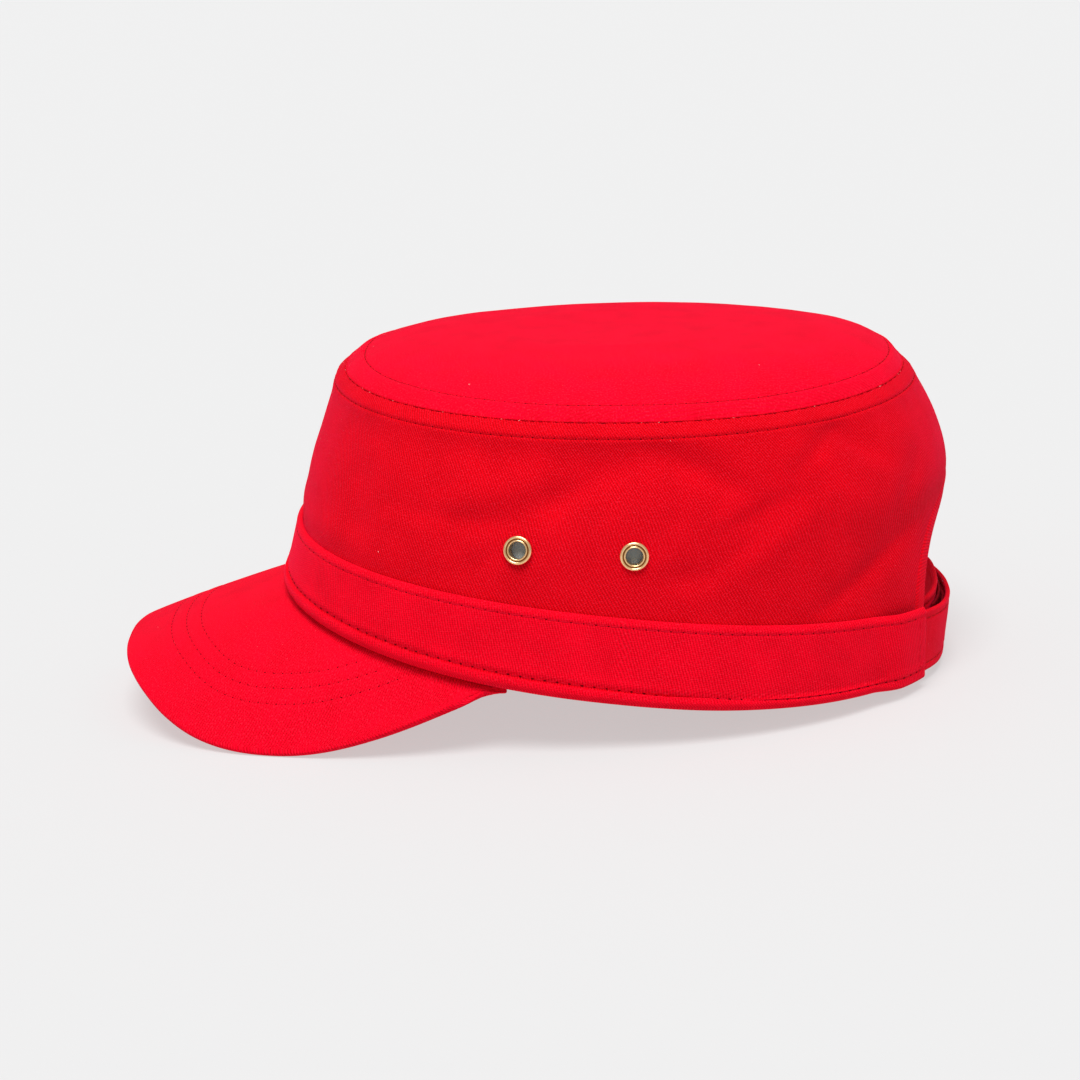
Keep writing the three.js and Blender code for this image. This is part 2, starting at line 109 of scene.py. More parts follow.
def ring_point(ring, angle):
    """Points of a ring at the angles."""
    c, s = np.cos(angle), np.sin(angle)
    power = 2 / np.where(c > 0, ring.square_front, ring.square_back)
    x = ring.half * np.sign(s) * np.abs(s) ** power
    share = (1 - np.sign(c) * np.abs(c) ** power) / 2
    y = ring.front_y + (ring.back_y - ring.front_y) * share + SHIFT_Y
    z = ring.front_z + (ring.back_z - ring.front_z) * share - ring.sag * (x / ring.half) ** 2
    return np.stack([x, y, z], axis=-1)


def band_point(angle, up, out=0.0):
    """Points of the band: up is 0 at the hem and 1 at the top edge, out the offset outwards."""
    up, out = np.asarray(up)[..., None], np.asarray(out)[..., None]

    def at(a, u):
        return ring_point(HEM, a) * (1 - u) + ring_point(BAND_TOP, a) * u

    around = at(angle + STEP, up) - at(angle - STEP, up)
    rise = at(angle, up + 0.5) - at(angle, up - 0.5)
    return at(angle, up) + unit(np.cross(around, rise)) * out


def back_angle(x):
    """The angle where the band's curve passes x behind the head."""
    share = np.abs(x / BAND_TOP.half) ** (BAND_TOP.square_back / 2)
    return math.pi - np.sign(x) * np.arcsin(share)


def through(points, at):
    """A smooth curve through points, at a place counted in points from the first."""
    first, last = 2 * points[0] - points[1], 2 * points[-1] - points[-2]
    chain = np.concatenate([[first], points, [last]])
    k = min(int(at), len(points) - 2)
    p0, p1, p2, p3 = chain[k:k + 4]
    d0, d1, d2 = (np.sqrt(np.linalg.norm(b - a, axis=-1, keepdims=True) + 1e-12)
                  for a, b in ((p0, p1), (p1, p2), (p2, p3)))
    m1 = ((p1 - p0) / d0 - (p2 - p0) / (d0 + d1) + (p2 - p1) / d1) * d1
    m2 = ((p2 - p1) / d1 - (p3 - p1) / (d1 + d2) + (p3 - p2) / d2) * d1
    t = at - k
    return (p1 + m1 * t + (3 * (p2 - p1) - 2 * m1 - m2) * t ** 2
            + (2 * (p1 - p2) + m1 + m2) * t ** 3)


def curve_rows(points, steps):
    """A grid whose rows follow the smooth curve through the points in equal steps."""
    places = np.linspace(0, len(points) - 1, steps)
    return np.stack([through(points, at) for at in places], axis=1)


def along_lines(lines, distances):
    """Points at the distances along each line of a grid, measured from its first point."""
    steps = np.linalg.norm(np.diff(lines, axis=1), axis=2)
    way = np.pad(np.cumsum(steps, axis=1), ((0, 0), (1, 0)))
    return np.stack([
        np.stack([np.interp(d, w, line[:, k]) for k in range(3)], axis=-1)
        for d, w, line in zip(distances, way, lines)
    ])


def line_lengths(lines):
    return np.linalg.norm(np.diff(lines, axis=1), axis=2).sum(axis=1)


def even_angles(first, last, columns):
    """Angles whose points lie evenly spaced along the band's upper edge, and their way."""
    dense = np.linspace(first, last, 4001)
    steps = np.linalg.norm(np.diff(ring_point(BAND_TOP, dense), axis=0), axis=1)
    way = np.concatenate([[0.0], np.cumsum(steps)])
    even = np.linspace(0, way[-1], columns + 1)
    return np.interp(even, way, dense), even


def directions(surface, closed):
    """Unit vectors of a grid: out of its surface, up its rows and along its columns."""
    if closed:
        wide = np.concatenate([surface[-2:-1], surface, surface[1:2]])
        along = wide[2:] - wide[:-2]
    else:
        along = np.gradient(surface, axis=0)
    up = np.gradient(surface, axis=1)
    return unit(np.cross(along, up)), unit(up), unit(along)


print("way round the band:", round(1000 * even_angles(0, TURN, 8)[1][-1]), "mm")

# %% [markdown]
# ## Laying cloth
#
# Cloth is a thin sheet, so a piece could be a bare surface with a Solidify modifier. A sewn
# edge is rounded and a hem is thicker than the cloth, though, so each piece is laid as a
# section that goes up the outer face, over the edge and down the inner face. A flat grid
# primitive gives the faces, and its points are then moved onto the section's places. The
# grid's UV map is rewritten in metres of cloth, so that the weave follows the panel.

# %% Sections and grids
EDGE_TURNS = [math.radians(a) for a in (30, 60, 90, 120, 150)]
END_TURNS = [math.radians(a) for a in (28, 55, 78)]


def section(mid, half, outside, cloth, closed, loop=True, inside=None, inner_step=2, frames=None):
    """Wraps a mid surface in two faces and rounds its edges. Returns the places and cloth."""
    out, up, along = frames or directions(mid, closed)
    half = np.broadcast_to(half, mid.shape[:2])
    inside = np.zeros(mid.shape[:2]) if inside is None else inside
    last = mid.shape[1] - 1
    core, arm, weave = [], [], []

    def add(row, vectors, shift):
        core.append(mid[:, row])
        arm.append(vectors)
        weave.append(cloth[:, row] + np.array([0.0, shift]))

    for row in range(last + 1):
        add(row, out[:, row] * (half[:, row] + outside[:, row])[:, None], 0.0)
    rim = half[:, last][:, None]
    for turn in EDGE_TURNS:
        edge = out[:, last] * math.cos(turn) + up[:, last] * math.sin(turn)
        add(last, edge * rim, float(rim.mean()) * turn)
    inner = sorted(set(range(0, last, inner_step)) | {last})
    for row in reversed(inner):
        add(row, -out[:, row] * (half[:, row] - inside[:, row])[:, None], 0.0)
    if loop:
        rim = half[:, 0][:, None]
        for turn in EDGE_TURNS:
            edge = -out[:, 0] * math.cos(turn) - up[:, 0] * math.sin(turn)
            add(0, edge * rim, -float(rim.mean()) * turn)
        core.append(core[0])
        arm.append(arm[0])
        weave.append(weave[0])
    core, arm, weave = (np.stack(rows, axis=1) for rows in (core, arm, weave))
    if not closed:
        reach = np.linalg.norm(arm, axis=2, keepdims=True)
        before = [core[:1] + arm[:1] * math.cos(t) - along[:1, :1] * reach[:1] * math.sin(t)
                  for t in reversed(END_TURNS)]
        after = [core[-1:] + arm[-1:] * math.cos(t) + along[-1:, :1] * reach[-1:] * math.sin(t)
                 for t in END_TURNS]
        places = np.concatenate([*before, core + arm, *after])
        ends = len(END_TURNS)
        weave = np.concatenate([*[weave[:1]] * ends, weave, *[weave[-1:]] * ends])
    else:
        places = core + arm
    return places, weave, last + 1 + len(EDGE_TURNS)


def deselect():
    if bpy.context.object and bpy.context.object.mode != "OBJECT":
        bpy.ops.object.mode_set(mode="OBJECT")
    bpy.ops.object.select_all(action="DESELECT")


def lay_cloth(name, places, cloth, inner_from=None):
    """Adds a grid, moves its points onto the places and welds where the section closes."""
    columns, rows = places.shape[0] - 1, places.shape[1] - 1
    deselect()
    bpy.ops.mesh.primitive_grid_add(x_subdivisions=columns, y_subdivisions=rows, size=2)
    piece = bpy.context.object
    piece.name = piece.data.name = name
    mesh = piece.data
    flat = np.empty(len(mesh.vertices) * 3, np.float32)
    mesh.vertices.foreach_get("co", flat)
    column, row = np.rint((flat.reshape(-1, 3)[:, :2].T + 1) / 2 * [[columns], [rows]]).astype(int)
    mesh.vertices.foreach_set("co", places[column, row].astype(np.float32).ravel())
    corners = np.empty(len(mesh.loops), np.int32)
    mesh.loops.foreach_get("vertex_index", corners)
    mesh.uv_layers[0].data.foreach_set("uv", cloth[column, row][corners].astype(np.float32).ravel())
    if inner_from is not None:
        lowest = row[corners].reshape(-1, 4).min(axis=1)
        mesh.polygons.foreach_set("material_index", (lowest >= inner_from).astype(np.int32))
    mesh.update()
    bpy.ops.object.mode_set(mode="EDIT")
    bpy.ops.mesh.select_all(action="SELECT")
    bpy.ops.mesh.remove_doubles(threshold=1e-6)
    bpy.ops.mesh.fill_holes(sides=0)
    bpy.ops.mesh.normals_make_consistent(inside=False)
    bpy.ops.object.mode_set(mode="OBJECT")
    bpy.ops.object.shade_smooth()
    return piece


def smooth(t):
    t = np.clip(t, 0, 1)
    return t * t * (3 - 2 * t)


def hill(distance, width):
    """A soft ridge of height 1 along a line, by the distance from it."""
    return np.exp(-(distance / width) ** 2)


def dip(distance, width):
    """The same as a groove."""
    return -hill(distance, width)


def unevenness(points, size, seed):
    """Soft bumps of cloth between -1 and 1, about a size across."""
    shift = Vector((seed, 2.3 * seed, 0.7 * seed))
    flat = [noise.noise(Vector(p) / size + shift) for p in points.reshape(-1, 3)]
    return np.array(flat).reshape(points.shape[:-1])


def waves(high, points, size, seed, distance, fade):
    """Unevenness of a height, which fades away where the distance goes to 0."""
    return high * unevenness(points, size, seed) * smooth(distance / fade)


print("a rounded edge has", len(EDGE_TURNS), "rows")

# %% [markdown]
# ## Twill
#
# Twill shows fine slanted ribs, about 0.8 mm apart here, each made of short floats of yarn.
# An image could show them, but waves do it at any scale. One wave across the ribs, a weaker
# one along them and a fine noise for the yarn give both the colour and the bump. They read
# the UV map, which is in metres of cloth, so each panel has its own slant. Soft patches are a
# little lighter or darker, and a few pale specks of lint sit on the cloth.

# %% Twill material
RIB_PITCH = 0.00084
FLOAT_PITCH = 0.00060
TWILL_LIGHT = (0.90, 0.0003, 0.010, 1)
TWILL_DARK = (0.42, 0.0, 0.0015, 1)
PALE_FIBRE_AND_HIGHLIGHT = (0.98, 0.030, 0.075, 1)
LINT = (0.95, 0.50, 0.50, 1)
YARN_SIZE = 0.00045
PATCH_SIZE = 0.011
FLOAT_SHARE, YARN_SHARE, PATCH_SHARE = 0.38, 0.50, 0.55
CREST_FROM, CREST_GAIN, CREST_SHARE = 0.525, 4.0, 0.5  # pale fibres and painted highlight on the highest yarn
TWILL_BUMP = 0.00010
LINT_SCALE = 130  # cells in a metre, each with at most one speck
LINT_R = 0.020  # of a speck, in cells
LINT_FROM = 0.72  # only cells whose random number is above this have a speck


def start_material(name):
    """A new material, its node tree and its shader."""
    material = bpy.data.materials.new(name)
    material.use_nodes = True
    return material, material.node_tree, material.node_tree.nodes["Principled BSDF"]


def feed(tree, node, values):
    """Sets a node's sockets to numbers or colours, or links other nodes' outputs to them."""
    for socket, value in values.items():
        if isinstance(value, (int, float, tuple)):
            node.inputs[socket].default_value = value
        else:
            tree.links.new(value, node.inputs[socket])
    return node


def add_node(tree, kind, values):
    return feed(tree, tree.nodes.new("ShaderNode" + kind), values)


def wave(tree, source, pitch, direction, distortion):
    """Stripes a pitch apart, between 0 and 1."""
    scale = TURN / (20 * pitch)
    node = add_node(tree, "TexWave", {"Vector": source, "Scale": scale, "Distortion": distortion,
                                      "Detail": 2, "Detail Scale": 0.8})
    node.wave_type = "BANDS"
    node.bands_direction = direction
    return node.outputs["Fac"]


def noise_of(tree, source, scale, detail):
    values = {"Vector": source, "Scale": scale, "Detail": detail}
    return add_node(tree, "TexNoise", values).outputs["Fac"]


def math_node(tree, operation, *values, clamp=False):
    node = feed(tree, tree.nodes.new("ShaderNodeMath"), dict(enumerate(values)))
    node.operation = operation
    node.use_clamp = clamp
    return node.outputs[0]


def add_scaled(tree, base, extra, scale, clamp=False):
    """base + extra times scale."""
    return math_node(tree, "MULTIPLY_ADD", extra, scale, base, clamp=clamp)


def mix_colour(tree, share, first, second):
    node = tree.nodes.new("ShaderNodeMix")
    node.data_type = "RGBA"
    low, high = (k for k, socket in enumerate(node.inputs) if socket.type == "RGBA")
    feed(tree, node, {0: share, low: first, high: second})
    return next(socket for socket in node.outputs if socket.type == "RGBA")


def roughen(tree, shader, height, distance, strength):
    """Gives the shader a bump from a height."""
    bump = add_node(tree, "Bump", {"Height": height, "Distance": distance, "Strength": strength})
    feed(tree, shader, {"Normal": bump.outputs[0]})


def twill(name, slant, contrast=0.8, light=TWILL_LIGHT, dark=TWILL_DARK):
    """Cotton twill whose ribs lie at a slant in degrees from the panel's length."""
    material, tree, shader = start_material(name)
    uv = tree.nodes.new("ShaderNodeUVMap")
    uv.uv_map = "UVMap"
    uv = uv.outputs[0]
    turned = add_node(tree, "Mapping", {"Vector": uv, "Rotation": (0, 0, math.radians(90 - slant))})
    ribs = wave(tree, turned.outputs[0], RIB_PITCH, "X", 1.6)
    floats = wave(tree, turned.outputs[0], FLOAT_PITCH, "Y", 3.5)
    yarn = noise_of(tree, uv, 1 / YARN_SIZE, 2)
    patches = noise_of(tree, uv, 1 / PATCH_SIZE, 3)
    height = add_scaled(tree, add_scaled(tree, ribs, floats, FLOAT_SHARE), yarn, YARN_SHARE)
    share = add_scaled(tree, 0.62 - 0.94 * contrast, height, contrast)
    share = add_scaled(tree, share, patches, PATCH_SHARE)
    share = math_node(tree, "ADD", share, -PATCH_SHARE / 2, clamp=True)
    cloth = mix_colour(tree, share, dark, light)
    # The highest yarn is mixed towards a pale pink: pale fibres and a painted highlight on the
    # crests.
    crest = add_scaled(tree, -CREST_FROM * CREST_GAIN, yarn, CREST_GAIN, clamp=True)
    cloth = mix_colour(tree, math_node(tree, "MULTIPLY", crest, CREST_SHARE), cloth, PALE_FIBRE_AND_HIGHLIGHT)
    specks = add_node(tree, "TexVoronoi", {"Vector": uv, "Scale": LINT_SCALE})
    near = math_node(tree, "LESS_THAN", specks.outputs["Distance"], LINT_R)
    chosen = add_node(tree, "SeparateColor", {0: specks.outputs["Color"]})
    some = math_node(tree, "GREATER_THAN", chosen.outputs[0], LINT_FROM)
    lint = math_node(tree, "MULTIPLY", near, some)
    roughen(tree, shader, height, TWILL_BUMP, min(1, 1.1 * contrast))
    feed(tree, shader, {
        "Base Color": mix_colour(tree, lint, cloth, LINT), "Roughness": 0.85,
        "Specular IOR Level": 0.04, "Sheen Weight": 0.32, "Sheen Roughness": 0.45,
        "Sheen Tint": (1.0, 0.020, 0.13, 1),
    })
    return material


# Lit and shaded copies of one twill: the side wall's is darker, as painted shade, and the top's,
# band's and peak's are lighter and bluer with less weave contrast, as painted light for how the light
# falls on each panel.
SIDE_TWILL_PAINTED_SHADE = twill("side_twill_painted_shade", -60, light=(0.80, 0.0003, 0.008, 1))
TOP_TWILL_PAINTED_LIGHT = twill("top_twill_painted_light", 14, contrast=0.3, light=(0.95, 0.0003, 0.024, 1))
BAND_TWILL_PAINTED_LIGHT = twill("band_twill_painted_light", -78, contrast=0.6, light=(0.99, 0.0004, 0.017, 1))
PEAK_TWILL_PAINTED_LIGHT = twill("peak_twill_painted_light", 47, contrast=0.6, light=(0.95, 0.0003, 0.020, 1))
STRAP_TWILL = twill("strap_twill", -72, contrast=0.5)
print("ribs", 1000 * RIB_PITCH, "mm apart")

# %% [markdown]
# Sewing thread is smooth beside the cloth and catches a little more light. Through the
# eyelets the inside of the crown looks grey, as a woven interlining does, so the crown's
# inner faces get a grey, grainy finish.

# %% Thread, needle holes and interlining
def plain(name, colour, roughness, grain, grain_size, strength, gloss=0.05):
    """A finish with a fine grain in its colour and bump, in the object's own space."""
    material, tree, shader = start_material(name)
    place = tree.nodes.new("ShaderNodeTexCoord").outputs["Object"]
    dots = noise_of(tree, place, 1 / grain_size, 3)
    darker = tuple(c * grain for c in colour[:3]) + (1,)
    roughen(tree, shader, dots, grain_size * 0.2, strength)
    feed(tree, shader, {"Base Color": mix_colour(tree, dots, darker, colour),
                        "Roughness": roughness, "Specular IOR Level": gloss})
    return material


THREAD = plain("sewing_thread", (0.58, 0.0, 0.007, 1), 0.6, 0.5, 0.0004, 0.6)
PALE_THREAD = plain("pale_thread", (0.80, 0.002, 0.022, 1), 0.6, 0.5, 0.0004, 0.5)
# Dark beads that paint the shade in the needle holes.
NEEDLE_HOLE_SHADE = plain("needle_hole", (0.14, 0.0, 0.002, 1), 0.9, 0.5, 0.0005, 0.3)
SEAM_SHADE = plain("seam_shade", (0.42, 0.0, 0.004, 1), 0.9, 0.4, 0.0006, 0.3)
INTERLINING = plain("interlining", (0.40, 0.42, 0.44, 1), 0.9, 0.7, 0.0009, 0.8)
BACKING = plain("eyelet_backing", (0.27, 0.35, 0.42, 1), 0.9, 0.9, 0.0015, 0.1)
FUZZ = plain("hook_and_loop_fuzz", (0.30, 0.002, 0.010, 1), 0.9, 0.35, 0.0006, 0.5)
LINT_SPECK = plain("lint", (0.95, 0.45, 0.42, 1), 0.8, 0.8, 0.0004, 0.2)


def finish(piece, slot, *materials):
    """Gives a piece its materials and its place on the body; the slot is not used."""
    piece.data.materials.clear()
    for material in materials:
        piece.data.materials.append(material)
    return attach(piece, "root")


print(len(bpy.data.materials), "materials so far")

# %% [markdown]
# ## Folds and dents
#
# Nothing stiffens the side wall, so it has soft dents. The largest runs down to the band
# behind the wearer's left ear. They could come from a cloth simulation, but they have to be
# where they are on this cap, so each dent is a soft oval hollow from a short table, and
# a little unevenness is added for the small waves between them. A second table adds the
# narrow creases inside the dents, where a negative depth stands proud.

# %% Dents of the side wall
Dent = namedtuple("Dent", "side y z lie long wide deep")
DENTS = [
    Dent(1, 0.099, 0.044, 31, 0.020, 0.006, 0.0014),
    Dent(1, 0.096, 0.081, -38, 0.010, 0.004, 0.0009),
    Dent(1, 0.067, 0.062, 29, 0.022, 0.007, 0.0009),
    Dent(1, 0.051, 0.078, -29, 0.016, 0.006, 0.0008),
    Dent(1, 0.005, 0.075, 24, 0.024, 0.009, 0.0010),
    Dent(-1, 0.094, 0.046, 35, 0.022, 0.008, 0.0012),
    Dent(-1, 0.024, 0.068, 26, 0.028, 0.011, 0.0010),
]
CREASES = [
    Dent(1, 0.0985, 0.0435, 31, 0.021, 0.0028, 0.0008),
    Dent(1, 0.099, 0.0450, 31, 0.020, 0.0065, -0.0006),
    Dent(1, 0.083, 0.081, 41, 0.009, 0.0030, 0.00091),
    Dent(1, 0.096, 0.080, -38, 0.010, 0.0026, 0.00078),
    Dent(1, 0.064, 0.0655, 20, 0.012, 0.0028, 0.00078),
    Dent(1, 0.070, 0.057, 32, 0.020, 0.0040, -0.00065),
    Dent(1, 0.051, 0.079, -29, 0.014, 0.0030, 0.00091),
    Dent(1, 0.058, 0.085, -12, 0.020, 0.0040, -0.00052),
    Dent(1, 0.010, 0.0755, 23, 0.018, 0.0040, 0.00091),
    Dent(1, 0.014, 0.0760, 20, 0.032, 0.0085, 0.0009),
    Dent(1, -0.022, 0.0690, -6, 0.016, 0.0035, 0.00078),
    Dent(1, -0.012, 0.0760, 10, 0.012, 0.0040, -0.00065),
    Dent(1, 0.043, 0.0495, -6, 0.009, 0.0035, 0.00065),
    Dent(1, -0.018, 0.0560, 20, 0.009, 0.0035, 0.00065),
    Dent(1, 0.016, 0.0570, 78, 0.009, 0.0040, 0.00065),
    Dent(1, 0.112, 0.066, 62, 0.016, 0.0040, 0.00078),
    Dent(1, -0.052, 0.0700, 80, 0.014, 0.0050, 0.00078),
    Dent(-1, 0.094, 0.046, 35, 0.022, 0.0035, 0.00091),
    Dent(-1, 0.060, 0.062, 24, 0.018, 0.0045, 0.00078),
    Dent(-1, 0.020, 0.074, 20, 0.020, 0.0045, 0.00078),
    Dent(-1, -0.025, 0.068, -8, 0.016, 0.0040, 0.00065),
    Dent(-1, 0.090, 0.078, -35, 0.011, 0.0035, 0.00091),
]
DENT_FROM_X = 0.020
DENT_FADE_X = 0.030


def dent_depth(points, dents=DENTS):
    depth = np.zeros(points.shape[:-1])
    for dent in dents:
        on_side = smooth((points[..., 0] * dent.side - DENT_FROM_X) / DENT_FADE_X)
        dy = points[..., 1] - SHIFT_Y - dent.y
        dz = points[..., 2] - dent.z
        lie = math.radians(dent.lie)
        along = dy * math.cos(lie) + dz * math.sin(lie)
        across = dz * math.cos(lie) - dy * math.sin(lie)
        depth += on_side * dent.deep * np.exp(-(along / dent.long) ** 2 - (across / dent.wide) ** 2)
    return depth


print(len(DENTS), "dents and", len(CREASES), "creases")

# %% [markdown]
# ## Side wall
#
# The wall rises from behind the band to the top seam. Its seam allowance is stitched down
# 5.2 mm below the seam, which leaves a soft ridge between two grooves. The rows of the grid
# are closest where the grooves are. The arch at the back is cut in the next cell, and its
# edge is then covered with a turned hem.

# %% Lay the side wall
SIDE_COLUMNS = 460
INSIDE_SHARE = 0.6  # how much of the outer relief shows on the crown's inner face
SIDE_STITCH = 0.0052  # the side wall's stitch line lies this far from the top seam
SEAM_HALF = 0.00042  # half the cloth's thickness in the seam
SEAM_DEEP, SEAM_WIDE = 0.00034, 0.0007
GROOVE_DEEP, GROOVE_WIDE = 0.00030, 0.00040
RIPPLE = 0.00005
STITCH_PITCH = 0.0031
SIDE_LIFT, SIDE_FADE = 0.00060, 1.0
WALL_WAVE, WALL_RUFFLE = 0.00042, 0.00014
PUCKER_HIGH, PUCKER_FROM, PUCKER_WIDE = 0.00016, 0.0078, 0.0045
BULGE_HIGH, BULGE_UP, BULGE_WIDE = 0.0010, 0.0050, 0.0055
HOLLOW_DEEP, HOLLOW_FROM, HOLLOW_WIDE = 0.0006, 0.0115, 0.0045
SEAM_ROWS = [0.0004, 0.0007, 0.001, 0.0014, 0.002, 0.0028, 0.0036, 0.0044, 0.0049, 0.0052,
             0.0055, 0.0057, 0.0059, 0.0062, 0.0065, 0.007, 0.0078, 0.009]


def seam_rows(lengths, count, stitch):
    """Distances from the seam: the close rows, then even ones to the lines' ends."""
    near = np.array(SEAM_ROWS)[None] * (stitch / 0.0057)[:, None]
    shares = np.linspace(0, 1, count + 1)[1:]
    return np.concatenate([near, near[:, -1:] + (lengths[:, None] - near[:, -1:]) * shares], axis=1)


def seam_relief(distance, way, stitch, lift=0.00044, fade=0.40):
    """The dip at the seam, the ridge beside it and the groove of its stitch line."""
    across = distance / stitch
    ridge = lift * smooth(across / 0.85) * smooth((0.76 + fade - across) / fade)
    groove = GROOVE_DEEP * dip(distance - stitch, GROOVE_WIDE)
    ripple = RIPPLE * np.sin(way / STITCH_PITCH * TURN) * hill(distance - stitch, 0.0016)
    return SEAM_DEEP * dip(distance, SEAM_WIDE) + ridge + groove + ripple


def seam_half(distance):
    """Half the cloth's thickness, thinner beside the seam."""
    return SEAM_HALF + (CLOTH / 2 - SEAM_HALF) * smooth(distance / 0.003)


side_angles, side_way = even_angles(0, TURN, SIDE_COLUMNS)
behind = [band_point(side_angles, up, -(CLOTH + GAP)) for up in WALL_BEHIND]
wall_rings = np.stack(behind + [ring_point(ring, side_angles) for ring in CROWN_RINGS])
wall_lines = curve_rows(wall_rings, 150)[:, ::-1]
from_seam = seam_rows(line_lengths(wall_lines), 44, 0 * side_angles + SIDE_STITCH)
wall = along_lines(wall_lines, from_seam)[:, ::-1]
from_seam = from_seam[:, ::-1]
wall_out = directions(wall, True)[0]
wall_way = side_way[:, None] + 0 * from_seam
puckers = unevenness(wall * [1, 1, 0.25], 0.0050, 4.0)
over_band = wall[..., 2] - ring_point(BAND_TOP, side_angles)[:, None, 2]
hollow = np.abs(np.sin(side_angles))[:, None] * (0.8 + 0.5 * unevenness(wall, 0.045, 3.0))
in_front = smooth((np.cos(side_angles) - 0.5) / 0.35)[:, None]
wall_relief = (
    seam_relief(from_seam, wall_way, SIDE_STITCH, SIDE_LIFT, SIDE_FADE)
    - dent_depth(wall, CREASES) * smooth((from_seam - 0.004) / 0.004)
    + waves(WALL_WAVE, wall, 0.026, 1.0, from_seam, 0.012)
    + waves(WALL_RUFFLE, wall, 0.010, 2.0, from_seam, 0.008)
    + PUCKER_HIGH * puckers * hill(from_seam - PUCKER_FROM, PUCKER_WIDE)
    + BULGE_HIGH * in_front * hill(over_band - BULGE_UP, BULGE_WIDE)
    - HOLLOW_DEEP * hollow * hill(from_seam - HOLLOW_FROM, HOLLOW_WIDE)
)
wall = wall - wall_out * dent_depth(wall)[..., None]
wall_half = seam_half(from_seam)
wall_mid = wall - wall_out * wall_half[..., None]
wall_cloth = np.stack([wall_way, -from_seam], axis=-1)
places, cloth, inner_from = section(wall_mid, wall_half, wall_relief, wall_cloth, True,
                                    inside=INSIDE_SHARE * wall_relief)
crown_side = lay_cloth("crown_side_cloth", places, cloth, inner_from)
print("side wall:", len(crown_side.data.polygons), "faces")

# %% [markdown]
# The openings are cut with a Boolean modifier: the arch at the back, and a hole for each
# eyelet. The arch cutter starts as an upright disc whose lower half is then moved down, which
# gives it straight legs. A tree of the uncut wall finds the place and the normal under each
# eyelet, and later the places of the arch's hem.

# %% Cut the arch and the eyelet holes
from mathutils.bvhtree import BVHTree

ARCH_HALF = 0.037
ARCH_SPRING_Z = 0.029
ARCH_TOP_Z = 0.055
EYELETS = {
    "eyelet_left_front": (1, -0.0045, 0.0603),
    "eyelet_left_back": (1, 0.0285, 0.0574),
    "eyelet_right_front": (-1, -0.0045, 0.0603),
    "eyelet_right_back": (-1, 0.0285, 0.0574),
}
EYELET_CLOTH_R = 0.0033


def tree_of(grid):
    columns, rows = grid.shape[:2]
    quads = [(c * rows + r, (c + 1) * rows + r, (c + 1) * rows + r + 1, c * rows + r + 1)
             for c in range(columns - 1) for r in range(rows - 1)]
    return BVHTree.FromPolygons(grid.reshape(-1, 3).tolist(), quads)


wall_tree = tree_of(wall + wall_out * wall_relief[..., None])
eyelet_spots = {}
for name, (side, y, z) in EYELETS.items():
    spot, normal, _, _ = wall_tree.ray_cast((0.2 * side, y + SHIFT_Y, z), (-side, 0, 0))
    eyelet_spots[name] = (spot, normal if normal.x * side > 0 else -normal)

deselect()
bpy.ops.mesh.primitive_cylinder_add(
    vertices=96, radius=1, depth=0.08, location=(0, 0.12, ARCH_SPRING_Z),
    rotation=(math.pi / 2, 0, 0))
cutter = bpy.context.object
bpy.ops.transform.resize(value=(ARCH_HALF, 1, ARCH_TOP_Z - ARCH_SPRING_Z))
bpy.ops.object.transform_apply(location=True, rotation=True, scale=True)
bpy.ops.object.mode_set(mode="EDIT")
bpy.ops.mesh.select_all(action="DESELECT")
bpy.ops.object.mode_set(mode="OBJECT")
for vertex in cutter.data.vertices:
    vertex.select = vertex.co.z < ARCH_SPRING_Z - 1e-6
bpy.ops.object.mode_set(mode="EDIT")
bpy.ops.transform.translate(value=(0, 0, -0.04))
bpy.ops.object.mode_set(mode="OBJECT")
for spot, normal in eyelet_spots.values():
    turn = normal.to_track_quat("Z", "Y").to_euler()
    bpy.ops.mesh.primitive_cylinder_add(
        vertices=40, radius=EYELET_CLOTH_R, depth=0.014, location=spot, rotation=turn)
    cutter.select_set(True)
    bpy.context.view_layer.objects.active = cutter
    bpy.ops.object.join()

deselect()
crown_side.select_set(True)
bpy.context.view_layer.objects.active = crown_side
cut = crown_side.modifiers.new("openings", "BOOLEAN")
cut.operation = "DIFFERENCE"
cut.solver = "EXACT"
cut.object = cutter
bpy.ops.object.modifier_apply(modifier="openings")
bpy.data.objects.remove(cutter)
bpy.ops.object.shade_smooth_by_angle(angle=math.radians(50))
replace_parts(finish(crown_side, "twill", SIDE_TWILL_PAINTED_SHADE, INTERLINING), "crown_side")
print("side wall with its openings:", len(crown_side.data.polygons), "faces")

# %% [markdown]
# The arch's raw edge is turned in and stitched. A strip wrapped over the edge gives the
# rounded fold: its outer border starts just under the cloth's surface, so that only the
# soft ridge shows.

# %% Turn the arch's hem
HEM_WIDTH = 0.0052
ARCH_STITCH = 0.0040
ARCH_LEG_END = 0.0125
ARCH_SWELL = 0.00035
ARCH_SUNK = 0.00012
ARCH_RISE = 0.00022


def arch_line(count):
    """Points of the arch's edge from the wearer's left to the right, with outward directions."""
    leg = np.linspace(ARCH_LEG_END, ARCH_SPRING_Z, 14)[:-1]
    turns = np.linspace(0, math.pi, count)
    rise = ARCH_TOP_Z - ARCH_SPRING_Z
    curve = np.stack([ARCH_HALF * np.cos(turns), ARCH_SPRING_Z + rise * np.sin(turns)], -1)
    facing = unit(np.stack([np.cos(turns) / ARCH_HALF, np.sin(turns) / rise], -1))
    left = np.stack([0 * leg + ARCH_HALF, leg], -1)
    right = np.stack([0 * leg - ARCH_HALF, leg[::-1]], -1)
    ones = np.stack([0 * leg + 1, 0 * leg], -1)
    return np.concatenate([left, curve, right]), np.concatenate([ones, facing, -ones])


def on_wall(flat):
    """Places and normals of the side wall behind points given by x and z."""
    places, normals = [], []
    for x, z in flat.reshape(-1, 2):
        spot, normal, _, _ = wall_tree.ray_cast((x, 0.2, z), (0, -1, 0))
        places.append(spot)
        normals.append(normal if normal.y > 0 else -normal)
    shape = flat.shape[:-1] + (3,)
    return np.array(places).reshape(shape), np.array(normals).reshape(shape)


